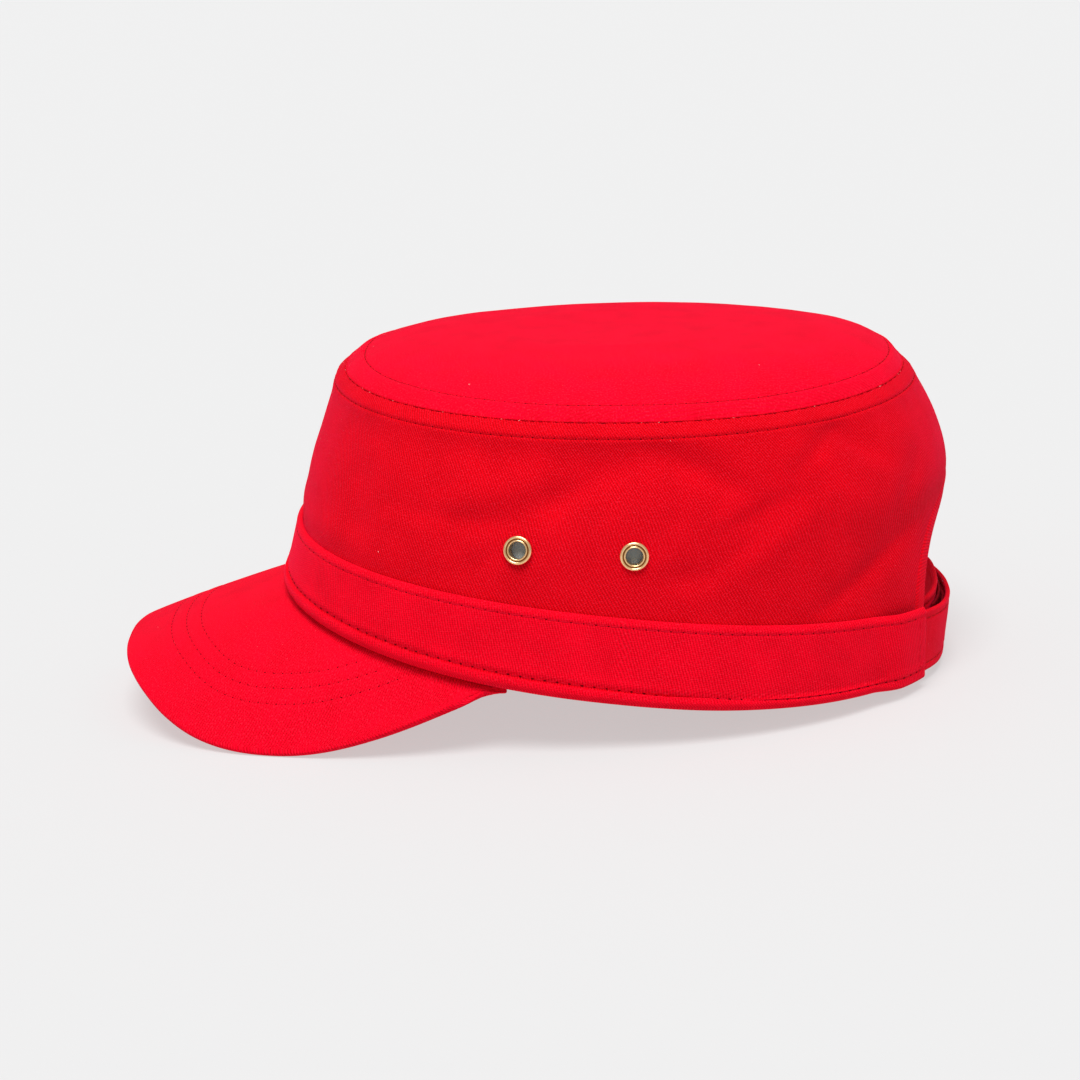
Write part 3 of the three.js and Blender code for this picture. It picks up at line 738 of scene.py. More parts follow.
edge_line, edge_facing = arch_line(90)
from_edge = np.array([5.2, 4.9, 4.55, 4.3, 4.15, 4.0, 3.85, 3.7, 3.4, 2.8, 2.1, 1.5, 1.0]) / 1000
arch_flat = edge_line[:, None] + edge_facing[:, None] * from_edge[None, :, None]
arch_places, arch_normals = on_wall(arch_flat)
arch_normals = unit(arch_normals)
arch_way = np.concatenate([[0], np.cumsum(np.linalg.norm(np.diff(edge_line, axis=0), axis=1))])
arch_cloth = np.stack(np.broadcast_arrays(arch_way[:, None], from_edge[None]), -1)
each = np.ones((len(edge_line), 1))
arch_half = 0.5 * CLOTH + ARCH_SWELL * smooth((HEM_WIDTH - from_edge) / 0.0012) * each
arch_mid = arch_places - arch_normals * (CLOTH / 2)
arch_face = (-ARCH_SUNK + ARCH_RISE * smooth((HEM_WIDTH - from_edge) / 0.0006)
             + GROOVE_DEEP * dip(from_edge - ARCH_STITCH, 0.0003)) * each
places, cloth, _ = section(arch_mid, arch_half, arch_face, arch_cloth, False)
arch_hem = lay_cloth("crown_side_arch_hem", places, cloth)
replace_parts(finish(arch_hem, "twill", STRAP_TWILL), "crown_side")
print("arch hem:", round(1000 * arch_way[-1]), "mm long")

# %% [markdown]
# ## Top panel
#
# The top panel is stretched nearly flat over the head. Like the side wall it is stitched down
# beside the seam, and it dips sharply at its very edge, so that the two panels meet in the
# narrow dark groove of the seam. Its grid runs from the middle out, and the UV map is a plain
# view from above, because the weave of a flat panel runs straight over it.

# %% Lay the top panel
TOP_STITCH_FRONT = 0.0068  # the panel's stitch line lies a little farther off in front
TOP_STITCH_BACK = 0.0056
TOP_WAVE, TOP_RUFFLE, TOP_PUCKER = 0.0004, 0.00012, 0.00013
top_lines = curve_rows(np.stack([ring_point(ring, side_angles) for ring in TOP_RINGS]), 90)
front_and_back = [ring_point(TOP_RINGS[-1], np.array([angle])) for angle in (0.0, math.pi)]
flat_middle = (front_and_back[0] + front_and_back[1]) / 2
shares = np.linspace(0.93, 0, 14)[None, :, None]
inwards = flat_middle[None] + (top_lines[:, -1:] - flat_middle[None]) * shares
top_lines = np.concatenate([top_lines, inwards], axis=1)
from_front = np.abs((side_angles + math.pi) % TURN - math.pi)
farther = (TOP_STITCH_FRONT - TOP_STITCH_BACK) * smooth((1.5 - from_front) / 0.9)
top_stitch = TOP_STITCH_BACK + farther
top_from_seam = seam_rows(line_lengths(top_lines), 44, top_stitch)
top = along_lines(top_lines, top_from_seam)[::-1, ::-1]
top_from_seam = top_from_seam[::-1, ::-1]
top_way = side_way[::-1, None] + 0 * top_from_seam
top_stitch = top_stitch[::-1, None]
top_out = directions(top, True)[0]
top_out[:, :2] = (0, 0, 1)
top_puckers = unevenness(top, 0.0050, 9.0)
top_relief = (
    seam_relief(top_from_seam, top_way, top_stitch)
    + waves(TOP_WAVE, top, 0.030, 5.0, top_from_seam, 0.012)
    + waves(TOP_RUFFLE, top, 0.010, 6.0, top_from_seam, 0.008)
    + TOP_PUCKER * top_puckers * hill(top_from_seam - 0.0085, 0.005)
)
top_half = seam_half(top_from_seam)
top_mid = top - top_out * top_half[..., None]
top_cloth = np.stack([top[..., 1], -top[..., 0]], axis=-1)
top_frames = directions(top_mid, True)
top_frames[0][:, :2] = (0, 0, 1)
places, cloth, inner_from = section(top_mid, top_half, top_relief, top_cloth, True, loop=False,
                                    inside=INSIDE_SHARE * top_relief, frames=top_frames)
crown_top = lay_cloth("crown_top_cloth", places, cloth, inner_from)
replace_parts(finish(crown_top, "twill", TOP_TWILL_PAINTED_LIGHT, INTERLINING), "crown_top")
print("top panel:", len(crown_top.data.polygons), "faces")

# %% [markdown]
# ## Band
#
# The band is a strip of twill folded over at the bottom into a thick, round hem, which is
# stitched about 5 mm up. A second line of stitches holds its top edge to the side wall. Its
# ends at the back lie over the straps, so they stand off a little there.

# %% Lay the band
BAND_COLUMNS = 480
BAND_END_X = 0.039
BAND_END_LEAN = 0.004
BAND_LIFT = STRAP + 2 * GAP
LIFT_FULL = 0.010
LIFT_FADE = 0.009
HEM_STITCH_FRONT = 0.0055
HEM_STITCH_BACK = 0.0033
TOP_STITCH = 0.0028
ROLL = 0.00235  # radius of the rolled hem
ROLL_FACE = 0.00060  # the roll stands this far out
HEM_FOLD = 0.0024  # the folded hem is this much thicker on its inner side
EDGE_TAPER = 0.00070
RIDGE_HIGH, TOP_RIDGE_HIGH = 0.00018, 0.00016
HEM_GROOVE, TOP_GROOVE = 0.00022, 0.00014
BAND_WAVE, BAND_RUFFLE = 0.00030, 0.00010
LOWER_ROWS = [0, 0.12, 0.26, 0.42, 0.58, 0.72, 0.84, 0.91, 0.96, 1]
MIDDLE_ROWS = [0.00015, 0.0003, 0.0005, 0.0008, 0.0013, 0.0022]
UPPER_ROWS = [0.0042, 0.0036, 0.0032, 0.0030, 0.0028, 0.0026, 0.0024, 0.0020, 0.0014, 0.0009]


def lift_share(x, y):
    share = 1 - smooth((np.abs(x) - BAND_END_X - LIFT_FULL) / LIFT_FADE)
    return np.where(y < 0, 0.0, share)


def band_angle(way, up):
    return way * back_angle(BAND_END_X + 0.0008 + BAND_END_LEAN * up)


band_end = back_angle(BAND_END_X)
band_angles, band_way = even_angles(-band_end, band_end, BAND_COLUMNS)
band_share_round = band_angles / band_end
hem_edge = band_point(band_angles, 0 * band_angles)
band_height = np.linalg.norm(band_point(band_angles, 0 * band_angles + 1) - hem_edge, axis=1)
lift = lift_share(hem_edge[:, 0], hem_edge[:, 1])
behind_ear = smooth((np.abs(band_angles) - 1.5) / 0.6)
hem_stitch = HEM_STITCH_FRONT + (HEM_STITCH_BACK - HEM_STITCH_FRONT) * behind_ear
roll = (ROLL * (1 - lift) + CLOTH / 2 * lift) * (0.8 + 0.2 * hem_stitch / HEM_STITCH_FRONT)
lower = roll[:, None] + (hem_stitch - roll)[:, None] * np.array(LOWER_ROWS)
upper = band_height[:, None] - np.array(UPPER_ROWS)
above = hem_stitch[:, None] + np.array(MIDDLE_ROWS)
between = above[:, -1:] + (upper[:, :1] - above[:, -1:]) * np.linspace(0, 1, 14)[None, 1:-1]
from_hem = np.concatenate([lower, above, between, upper], axis=1)
up_share = from_hem / band_height[:, None]
in_hem = 1 - smooth((from_hem - 0.0042) / 0.0018)
from_stitch = from_hem - hem_stitch[:, None]
from_top = band_height[:, None] - from_hem
rolled = (1 - smooth((from_stitch + 0.0026) / 0.0026)) * (1 - lift[:, None])
deep = -CLOTH - HEM_FOLD * in_hem * (1 - lift[:, None])
face = ROLL_FACE * rolled + RIDGE_HIGH * hill(from_stitch - 0.0012, 0.0008)
tapered = EDGE_TAPER * (1 - smooth(from_top / 0.0024))
face += TOP_RIDGE_HIGH * hill(from_top - 0.0018, 0.0007) - tapered
band_half = (face - deep) / 2
offset = (face + deep) / 2 + BAND_LIFT * lift[:, None]
band_mid = np.stack([
    band_point(band_angle(band_share_round, up_share[:, r]), up_share[:, r], offset[:, r])
    for r in range(up_share.shape[1])
], axis=1)
band_round = band_way[:, None] + 0 * from_hem
band_relief = (
    HEM_GROOVE * dip(from_stitch, 0.00042)
    + TOP_GROOVE * dip(from_top - TOP_STITCH, 0.00038)
    + waves(BAND_WAVE, band_mid, 0.026, 11.0, from_hem, 0.008) * smooth(from_top / 0.006)
    + BAND_RUFFLE * unevenness(np.stack([band_round, 0.3 * from_hem, 0 * from_hem], -1), 0.006, 12.0)
    * (hill(from_stitch, 0.004) + hill(from_top, 0.004))
)
band_cloth = np.stack([band_round, from_hem], axis=-1)
places, cloth, _ = section(band_mid, band_half, band_relief, band_cloth, False)
band = lay_cloth("band_cloth", places, cloth)
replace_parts(finish(band, "twill", BAND_TWILL_PAINTED_LIGHT), "band")
band_out = directions(band_mid, False)[0]
band_skin = band_mid + band_out * (band_half + band_relief)[..., None]
print("band:", len(band.data.polygons), "faces")

# %% [markdown]
# ## Peak
#
# The peak is a stiff board in twill. Its ribs fan out from a tab that is sewn in behind the
# hem, and three rows of stitches follow its edge. The rows of the grid are set by the distance
# from the edge, so that the stitch grooves run parallel to it, and where a rib is shorter
# than a row asks for, the spare points are merged at its root.

# %% Lay the peak
PeakRib = namedtuple("PeakRib", "root x y z thick")
PEAK_RIBS = [
    PeakRib(0, 0.0, -0.1299, 0.0174, 0.0026),
    PeakRib(8, 0.0140, -0.1292, 0.0171, 0.0026),
    PeakRib(16, 0.0270, -0.1268, 0.0157, 0.0026),
    PeakRib(24, 0.0395, -0.1216, 0.0120, 0.0026),
    PeakRib(32, 0.0500, -0.1142, 0.0069, 0.0026),
    PeakRib(39, 0.0576, -0.1052, 0.0025, 0.0026),
    PeakRib(46, 0.0640, -0.0940, -0.0001, 0.0026),
    PeakRib(53, 0.0692, -0.0798, -0.0009, 0.0026),
    PeakRib(60, 0.0738, -0.0657, 0.0009, 0.0026),
    PeakRib(65, 0.0772, -0.0503, 0.0051, 0.0026),
    PeakRib(68, 0.0790, -0.0349, 0.0106, 0.0026),
    PeakRib(70.8, 0.0790, -0.0230, 0.0156, 0.0022),
    PeakRib(72.8, 0.0782, -0.0186, 0.0183, 0.0017),
]
PEAK_TAB = [(-0.0053, 0.2), (-0.0053, 0.09), (-0.0050, -0.015)]  # offset and share of height
PEAK_ROOT_IN = 0.0034
PEAK_SWELL = 0.0009
PEAK_SHORT = 0.040
PEAK_COLUMNS = 300
PEAK_STITCHES = [0.0153, 0.0203, 0.0252]
EDGE_MIDDLE = 0.45  # the edge's middle lies at this share of the thickness
EDGE_INSET = 0.0010
PEAK_GROOVE, PEAK_PUFF = 0.00022, 0.00006
PEAK_WAVE, PEAK_RUFFLE = 0.00035, 0.00010

ribs = PEAK_RIBS[::-1] + [rib._replace(root=-rib.root, x=-rib.x) for rib in PEAK_RIBS[1:]]
edge_points = np.array([(rib.x, rib.y + SHIFT_Y, rib.z + EDGE_MIDDLE * rib.thick) for rib in ribs])
root_points = np.array([(math.radians(rib.root), rib.thick) for rib in ribs])
stations = np.linspace(0, len(ribs) - 1, PEAK_COLUMNS + 1)
peak_edge = np.stack([through(edge_points, at) for at in stations])
peak_roots = np.stack([through(root_points, at) for at in stations])
edge_way = np.concatenate([[0], np.cumsum(np.linalg.norm(np.diff(peak_edge, axis=0), axis=1))])
even_way = np.linspace(0, edge_way[-1], PEAK_COLUMNS + 1)
peak_edge = np.stack([np.interp(even_way, edge_way, peak_edge[:, k]) for k in range(3)], -1)
root_angle = np.interp(even_way, edge_way, peak_roots[:, 0])
peak_thick = np.interp(even_way, edge_way, peak_roots[:, 1])
peak_root = band_point(root_angle, 0 * root_angle, 0 * root_angle - PEAK_ROOT_IN)
peak_root[:, 2] -= GAP + peak_thick / 2
reach = np.linalg.norm(peak_edge - peak_root, axis=1)
swell = PEAK_SWELL * np.minimum(1, reach / PEAK_SHORT)
shares = np.linspace(0, 1, 161)[None, :, None]
blade = peak_root[:, None] + (peak_edge - peak_root)[:, None] * shares
blade[..., 2] += swell[:, None] * np.sin(math.pi * shares[..., 0])
tab = [band_point(root_angle, 0 * root_angle + up, 0 * root_angle + out) for out, up in PEAK_TAB]

near = np.full(blade.shape[:2], np.inf)
for step in range(0, PEAK_COLUMNS + 1, 2):
    near = np.minimum(near, np.linalg.norm(blade - peak_edge[step], axis=2))
blade_out, _, _ = directions(blade, False)
PEAK_ROWS = sorted(
    {0.0010, 0.0016, 0.0024, 0.0036, 0.0052, 0.0070, 0.0090, 0.0108, 0.0122,
     0.0285, 0.0320, 0.0360, 0.0400, 0.0460, 0.0520}
    | {round(line + step, 6) for line in PEAK_STITCHES
       for step in (-0.0018, -0.0010, -0.0006, -0.0003, 0, 0.0003, 0.0006, 0.0010, 0.0018)},
    reverse=True)
rows = []
for column in range(PEAK_COLUMNS + 1):
    fall = np.maximum.accumulate(near[column][::-1])
    rows.append(np.interp(PEAK_ROWS, fall, np.arange(len(fall))[::-1]))
rows = np.array(rows)
low = np.clip(np.floor(rows).astype(int), 0, 159)
part = (rows - low)[..., None]
pick = np.arange(PEAK_COLUMNS + 1)[:, None]
peak_mid = blade[pick, low] * (1 - part) + blade[pick, low + 1] * part
peak_out = unit(blade_out[pick, low] * (1 - part) + blade_out[pick, low + 1] * part)
from_peak_edge = near[pick, low] * (1 - part[..., 0]) + near[pick, low + 1] * part[..., 0]
print("peak edge:", round(1000 * even_way[-1]), "mm,", len(PEAK_ROWS), "rows")

# %% [markdown]
# The middle surface now gets its two faces. Grooves could be cut into a finished board, but
# the section that lays the cloth also takes a relief, so the stitch grooves, the puffed
# strips between them and the cloth's unevenness are added up there, above and below alike.

# %% Wrap the peak's faces
peak_half = (peak_thick / 2)[:, None] * np.ones(peak_mid.shape[:2])
peak_half *= 1 - 0.16 * (1 - smooth(from_peak_edge / 0.003))
toward = unit(np.gradient(blade, axis=1))
peak_up = unit(toward[pick, low])
peak_along = unit(np.gradient(peak_mid, axis=0) + 1e-9)
peak_mid[:, -1] = peak_edge - peak_up[:, -1] * EDGE_INSET
from_peak_edge[:, -1] = EDGE_INSET
sewn = sum(dip(from_peak_edge - line, 0.00045) for line in PEAK_STITCHES)
between_rows = sum(hill(from_peak_edge - line, 0.0013) for line in (0.0178, 0.0228))
peak_relief = (
    PEAK_GROOVE * sewn + PEAK_PUFF * between_rows
    + waves(PEAK_WAVE, peak_mid, 0.035, 21.0, from_peak_edge, 0.008)
    + PEAK_RUFFLE * unevenness(peak_mid, 0.006, 22.0) * hill(from_peak_edge - 0.020, 0.008)
)
tab_grid = np.stack([*tab, blade[:, 0], blade[:, 12]], axis=1)
tab_out, tab_up, tab_along = directions(tab_grid, False)
tab_half = (peak_thick / 2)[:, None] * np.array([0.5, 0.5, 0.55])
peak_all = np.concatenate([tab_grid[:, :3], peak_mid], axis=1)
frames = tuple(np.concatenate([a[:, :3], b], axis=1)
               for a, b in ((tab_out, peak_out), (tab_up, peak_up), (tab_along, peak_along)))
half_all = np.concatenate([tab_half, peak_half], axis=1)
relief_all = np.concatenate([0 * tab_half, peak_relief], axis=1)
across = np.linalg.norm(np.diff(peak_all[..., [0, 2]], axis=0), axis=2)
spread = np.concatenate([np.zeros((1, across.shape[1])), np.cumsum(across, axis=0)])
spread -= spread[PEAK_COLUMNS // 2][None]
peak_cloth = np.stack([-spread, -peak_all[..., 1]], axis=-1)
places, cloth, _ = section(peak_all, half_all, relief_all, peak_cloth, False,
                           inside=-relief_all, frames=frames, inner_step=1)
peak = lay_cloth("peak_cloth", places, cloth)
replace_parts(finish(peak, "twill", PEAK_TWILL_PAINTED_LIGHT), "peak")
print("peak:", len(peak.data.polygons), "faces")

# %% [markdown]
# ## Straps
#
# Two straps of doubled twill close the back opening, the one from the wearer's left over the
# one from the right. Each follows the band's own curve along a short table: x, the offset
# from that curve and how far the strap hangs below it.

# %% Lay the straps
OUTER_STRAP = [
    (0.048, -0.0002, -0.0001), (0.039, -0.0001, -0.0003), (0.027, 0.0009, 0.0001),
    (0.013, 0.0009, 0.0006), (0.0, 0.0009, 0.0014), (-0.014, 0.0018, 0.0025),
    (-0.028, 0.0028, 0.00275), (-0.039, 0.0038, 0.0020), (-0.049, 0.0038, 0.0009),
    (-0.060, 0.0034, 0.0002),
]
INNER_STRAP = [
    (0.046, -0.0047, 0.0003), (0.038, -0.0046, -0.0002), (0.027, -0.0032, -0.0012),
    (0.013, -0.0030, -0.0016), (0.0, -0.0030, -0.0016), (-0.014, -0.0021, -0.0012),
    (-0.028, -0.0010, -0.0004), (-0.039, -0.0001, 0.0003), (-0.048, -0.0002, 0.0006),
]
STRAP_STITCH = 0.0026
STRAP_GROOVE, STRAP_WAVE = 0.00028, 0.00012


def strap_rows(high, thick):
    """Rows across a strap, dense at its stitch lines, as distances from its lower edge."""
    steps = (0, 0.0004, 0.0009, 0.0014, 0.0017, 0.0019, 0.0021, 0.0024, 0.0030)
    edge = [thick / 2 + step for step in steps]
    middle = np.linspace(0.0048, high - 0.0048, 7)
    return np.concatenate([edge, middle, high - np.array(edge[::-1])])


def strap_mid(path, low, high, depth, columns, from_x=1.0, to_x=-1.0):
    """The middle surface of a strip along a path, depth inside the path's own offset."""
    table = np.array(path)
    plan = np.stack([through(table, at) for at in np.linspace(0, len(path) - 1, 1200)])
    plan = plan[(plan[:, 0] <= from_x) & (plan[:, 0] >= to_x)]
    plan = plan[np.linspace(0, len(plan) - 1, columns + 1).astype(int)]
    angle = back_angle(plan[:, 0])
    flat = 0 * angle
    tall = np.linalg.norm(band_point(angle, flat + 1) - band_point(angle, flat), axis=1)
    rows = strap_rows(float(tall.mean()) * (high - low), STRAP)
    shares = low + rows[None] / tall.mean()
    mid = np.stack([band_point(angle, flat + shares[0, r], plan[:, 1] - depth)
                    for r in range(len(rows))], axis=1)
    mid[..., 2] -= plan[:, 2:3]
    way = np.concatenate([[0], np.cumsum(np.linalg.norm(np.diff(mid[:, 0], axis=0), axis=1))])
    return mid, rows, way


def lay_strap(name, node, path, low, high, seed):
    """Lays a strap and returns its outer face, with that face's normals and rows."""
    mid, rows, way = strap_mid(path, low, high, STRAP / 2, 110)
    tall = rows[-1] + rows[0]
    from_low = np.broadcast_to(rows, mid.shape[:2])
    from_end = np.minimum(way, way[-1] - way)[:, None] + 0 * from_low
    near_edge = np.minimum(np.minimum(from_low, tall - from_low), from_end)
    relief = (STRAP_GROOVE * dip(near_edge - STRAP_STITCH, GROOVE_WIDE)
              + waves(STRAP_WAVE, mid, 0.008, seed, near_edge, 0.003))
    cloth = np.stack(np.broadcast_arrays(way[:, None], rows[None]), -1)
    places, cloth, _ = section(mid, STRAP / 2, relief, cloth, False, inside=-relief, inner_step=1)
    piece = lay_cloth(name, places, cloth)
    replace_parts(finish(piece, "twill", STRAP_TWILL), node)
    out = directions(mid, False)[0]
    return mid + out * (STRAP / 2 + relief)[..., None], out, rows


outer = lay_strap("strap_outer_cloth", "strap_outer", OUTER_STRAP, 0.0, 0.86, 31.0)
inner = lay_strap("strap_inner_cloth", "strap_inner", INNER_STRAP, 0.06, 0.90, 32.0)
print("straps laid")

# %% [markdown]
# Between the straps lie the hook tape and the loop tape. Their woven ground is a thin strip,
# and the fuzz on it is a crowd of short, bent hairs: one hair is modelled and copied.

# %% Lay the tapes
TAPE_LOW, TAPE_HIGH = 0.12, 0.78
TAPE_FROM_X, TAPE_TO_X = 0.027, -0.022
HAIRS = 900  # on each tape
HAIR_BEND = 400


def copies_of(template, matrices, name):
    """Joins a copy of the template's mesh under each matrix into one new piece."""
    size = len(template.data.vertices)
    base = np.array([v.co for v in template.data.vertices])
    faces = [tuple(p.vertices) for p in template.data.polygons]
    moved = np.einsum("nij,vj->nvi", matrices[:, :3, :3], base) + matrices[:, None, :3, 3]
    all_faces = [tuple(v + k * size for v in face) for k in range(len(matrices)) for face in faces]
    mesh = bpy.data.meshes.new(name)
    mesh.from_pydata(moved.reshape(-1, 3).tolist(), [], all_faces)
    mesh.polygons.foreach_set("use_smooth", np.ones(len(mesh.polygons), bool))
    piece = bpy.data.objects.new(name, mesh)
    bpy.context.collection.objects.link(piece)
    return piece


def standing(centres, lengthwise, outwards):
    """Matrices that stand the template on its places: x lengthwise and z outwards."""
    x = unit(lengthwise)
    z = unit(outwards - x * np.sum(outwards * x, axis=-1, keepdims=True))
    y = np.cross(z, x)
    matrices = np.zeros((len(centres), 4, 4))
    for k, column in enumerate((x, y, z, centres)):
        matrices[:, :3, k] = column
    matrices[:, 3, 3] = 1
    return matrices


def lay_tape(name, node, path, depth, facing, seed):
    mid, rows, way = strap_mid(path, TAPE_LOW, TAPE_HIGH, depth + TAPE / 2, 60,
                               TAPE_FROM_X, TAPE_TO_X)
    cloth = np.stack(np.broadcast_arrays(way[:, None], rows[None]), -1)
    places, cloth, _ = section(mid, TAPE / 2, 0.00010 * unevenness(mid, 0.0011, seed), cloth, False)
    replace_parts(finish(lay_cloth(name, places, cloth), "tape", FUZZ), node)
    rng = np.random.default_rng(int(seed))
    out = directions(mid, False)[0] * facing
    spot = rng.integers(0, mid.shape[0] * mid.shape[1], HAIRS)
    centre = mid.reshape(-1, 3)[spot] + rng.normal(0, 0.0006, (HAIRS, 3)) * [1, 0.3, 1]
    centre += out.reshape(-1, 3)[spot] * TAPE * 0.45
    matrices = standing(centre, rng.normal(0, 1, (HAIRS, 3)), out.reshape(-1, 3)[spot])
    fuzz = copies_of(hair, matrices, name + "_fuzz")
    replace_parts(finish(fuzz, "tape", FUZZ), node)


deselect()
bpy.ops.mesh.primitive_cone_add(
    vertices=3, radius1=0.00006, radius2=0.00003, depth=0.0009, location=(0, 0, 0.0001))
hair = bpy.context.object
bpy.ops.object.mode_set(mode="EDIT")
bpy.ops.mesh.subdivide(number_cuts=1)
bpy.ops.object.mode_set(mode="OBJECT")
for vertex in hair.data.vertices:
    vertex.co.x += HAIR_BEND * max(vertex.co.z, 0) ** 2
lay_tape("hook_tape_ground", "hook_tape", OUTER_STRAP, STRAP + GAP, -1, 41.0)
lay_tape("loop_tape_ground", "loop_tape", INNER_STRAP, -GAP - TAPE, 1, 42.0)
bpy.data.objects.remove(hair)
print("tapes laid")

# %% [markdown]
# ## Eyelets
#
# Each eyelet is pressed from brass: a domed outer ring, a groove darkened with painted shade
# and a rolled inner edge round the hole. Its section is drawn once as a loop of points and
# spun round. Behind each hole the wall has a small round of its grey interlining, which shows through
# it.

# %% Spin an eyelet
EYELET_PROFILE = [  # radius and height above the cloth, in millimetres
    (2.50, -2.30), (2.50, 0.72), (2.55, 0.95), (2.68, 1.08), (2.84, 1.08), (2.98, 0.95),
    (3.06, 0.78), (3.12, 0.66), (3.22, 0.62), (3.32, 0.70), (3.42, 0.88), (3.58, 1.04),
    (3.78, 1.06), (3.98, 0.96), (4.14, 0.78), (4.24, 0.56), (4.25, 0.36), (4.10, 0.16),
    (3.70, 0.12), (2.95, 0.12), (2.95, -1.95), (3.80, -2.02), (3.85, -2.22), (3.55, -2.52),
    (2.90, -2.58), (2.60, -2.50),
]
EYELET_UP = 0.00083  # height 0 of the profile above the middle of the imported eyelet
GROOVE_SHADE_R = (0.00300, 0.00334)
BACKING_R = 0.0037
BACKING_THICK = 0.0002
BACKING_Z = -0.0028
GRIME_SCALE = 900
BRASS_DARK = (0.86, 0.50, 0.21, 1)
BRASS_LIGHT = (1.0, 0.74, 0.42, 1)
# Painted shade for the groove between the eyelet's rings.
BRASS_GROOVE_SHADE = (0.36, 0.16, 0.055, 1)


def brass():
    """Bright brass with a little grime, and painted shade in the groove, where a point attribute is
    1.
    """
    material, tree, shader = start_material("brass")
    place = tree.nodes.new("ShaderNodeTexCoord").outputs["Object"]
    grime = noise_of(tree, place, GRIME_SCALE, 4)
    clean = mix_colour(tree, grime, BRASS_DARK, BRASS_LIGHT)
    groove_shade_mask = tree.nodes.new("ShaderNodeAttribute")
    groove_shade_mask.attribute_name = "groove_shade_mask"
    roughen(tree, shader, grime, 0.00002, 0.08)
    feed(tree, shader, {
        "Base Color": mix_colour(tree, groove_shade_mask.outputs["Fac"], clean, BRASS_GROOVE_SHADE), "Metallic": 1.0,
        "Roughness": add_scaled(tree, 0.22, grime, 0.12),
    })
    return material


BRASS = brass()
deselect()
bpy.ops.mesh.primitive_circle_add(vertices=len(EYELET_PROFILE), radius=0.001)
pressed = bpy.context.object
for vertex, (radius, height) in zip(pressed.data.vertices, EYELET_PROFILE):
    vertex.co = (radius / 1000, 0, height / 1000)
bpy.ops.object.mode_set(mode="EDIT")
bpy.ops.mesh.select_all(action="SELECT")
bpy.ops.mesh.spin(steps=56, angle=TURN, axis=(0, 0, 1), center=(0, 0, 0))
bpy.ops.mesh.select_all(action="SELECT")
bpy.ops.mesh.remove_doubles(threshold=1e-6)
bpy.ops.mesh.normals_make_consistent(inside=False)
bpy.ops.object.mode_set(mode="OBJECT")
bpy.ops.object.shade_smooth()
# The points in the groove between the rings get the painted shade.
groove_shade_mask = pressed.data.attributes.new("groove_shade_mask", "FLOAT", "POINT")
for vertex in pressed.data.vertices:
    radius = math.hypot(vertex.co.x, vertex.co.y)
    in_groove = GROOVE_SHADE_R[0] < radius < GROOVE_SHADE_R[1] and vertex.co.z > 0
    groove_shade_mask.data[vertex.index].value = 1.0 if in_groove else 0.0
for name, (spot, normal) in eyelet_spots.items():
    eyelet = pressed.copy()
    eyelet.data = pressed.data.copy()
    eyelet.name = eyelet.data.name = name + "_brass"
    bpy.context.collection.objects.link(eyelet)
    low_corner, high_corner = (Vector(corner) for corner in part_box(name))
    base = (low_corner + high_corner) / 2 + normal * EYELET_UP
    seat = Matrix.Translation(base) @ normal.to_track_quat("Z", "Y").to_matrix().to_4x4()
    eyelet.data.transform(seat)
    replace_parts(finish(eyelet, "brass", BRASS), name)
    deselect()
    bpy.ops.mesh.primitive_cylinder_add(
        vertices=40, radius=BACKING_R, depth=BACKING_THICK, location=(0, 0, BACKING_Z))
    backing = bpy.context.object
    bpy.ops.object.transform_apply(location=True, rotation=True, scale=True)
    backing.name = backing.data.name = "crown_side_backing_" + name.removeprefix("eyelet_")
    backing.data.transform(seat)
    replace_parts(finish(backing, "twill", BACKING), "crown_side")
    print(name, "is", round(1000 * (Vector(spot) - base).length, 2), "mm from the wall's own spot")
bpy.data.objects.remove(pressed)

# %% [markdown]
# ## Stitches
#
# A lockstitch shows as short threads, each sunk at both ends where the needle went in. One
# stitch is modelled from a small sphere, and copies of it follow the seam grooves. Small dark
# beads between the stitches are painted shade in the needle holes. Dark beads along the top's
# seam are painted shade in its groove where the two panels pinch, and a few pale specks of lint sit
# there.

# %% Sew
BAND_PITCH = 0.0036
PEAK_PITCH = 0.0030
SEAM_SHADE_PITCH = 0.0023
LINT_PITCH = 0.0095


def sewn_places(points, normals, pitch, start=0.5):
    """Centres, directions and normals at even steps along a line of points."""
    lengths = np.linalg.norm(np.diff(points, axis=0), axis=1)
    way = np.concatenate([[0], np.cumsum(lengths)])
    at = np.arange(start * pitch, way[-1] - 0.3 * pitch, pitch)

    def pick_at(values, ahead=0.0):
        return np.stack([np.interp(at + ahead, way, values[:, k]) for k in range(3)], -1)

    return pick_at(points), pick_at(points, pitch / 4) - pick_at(points, -pitch / 4), pick_at(normals)


def bead(name, long, wide, high):
    deselect()
    bpy.ops.mesh.primitive_uv_sphere_add(segments=6, ring_count=5, radius=0.5)
    piece = bpy.context.object
    piece.name = name
    bpy.ops.transform.rotate(value=math.pi / 2, orient_axis="Y", center_override=(0, 0, 0))
    bpy.ops.object.transform_apply(location=True, rotation=True, scale=True)
    for vertex in piece.data.vertices:
        vertex.co = (vertex.co.x * long, vertex.co.y * wide, vertex.co.z * high)
    return piece


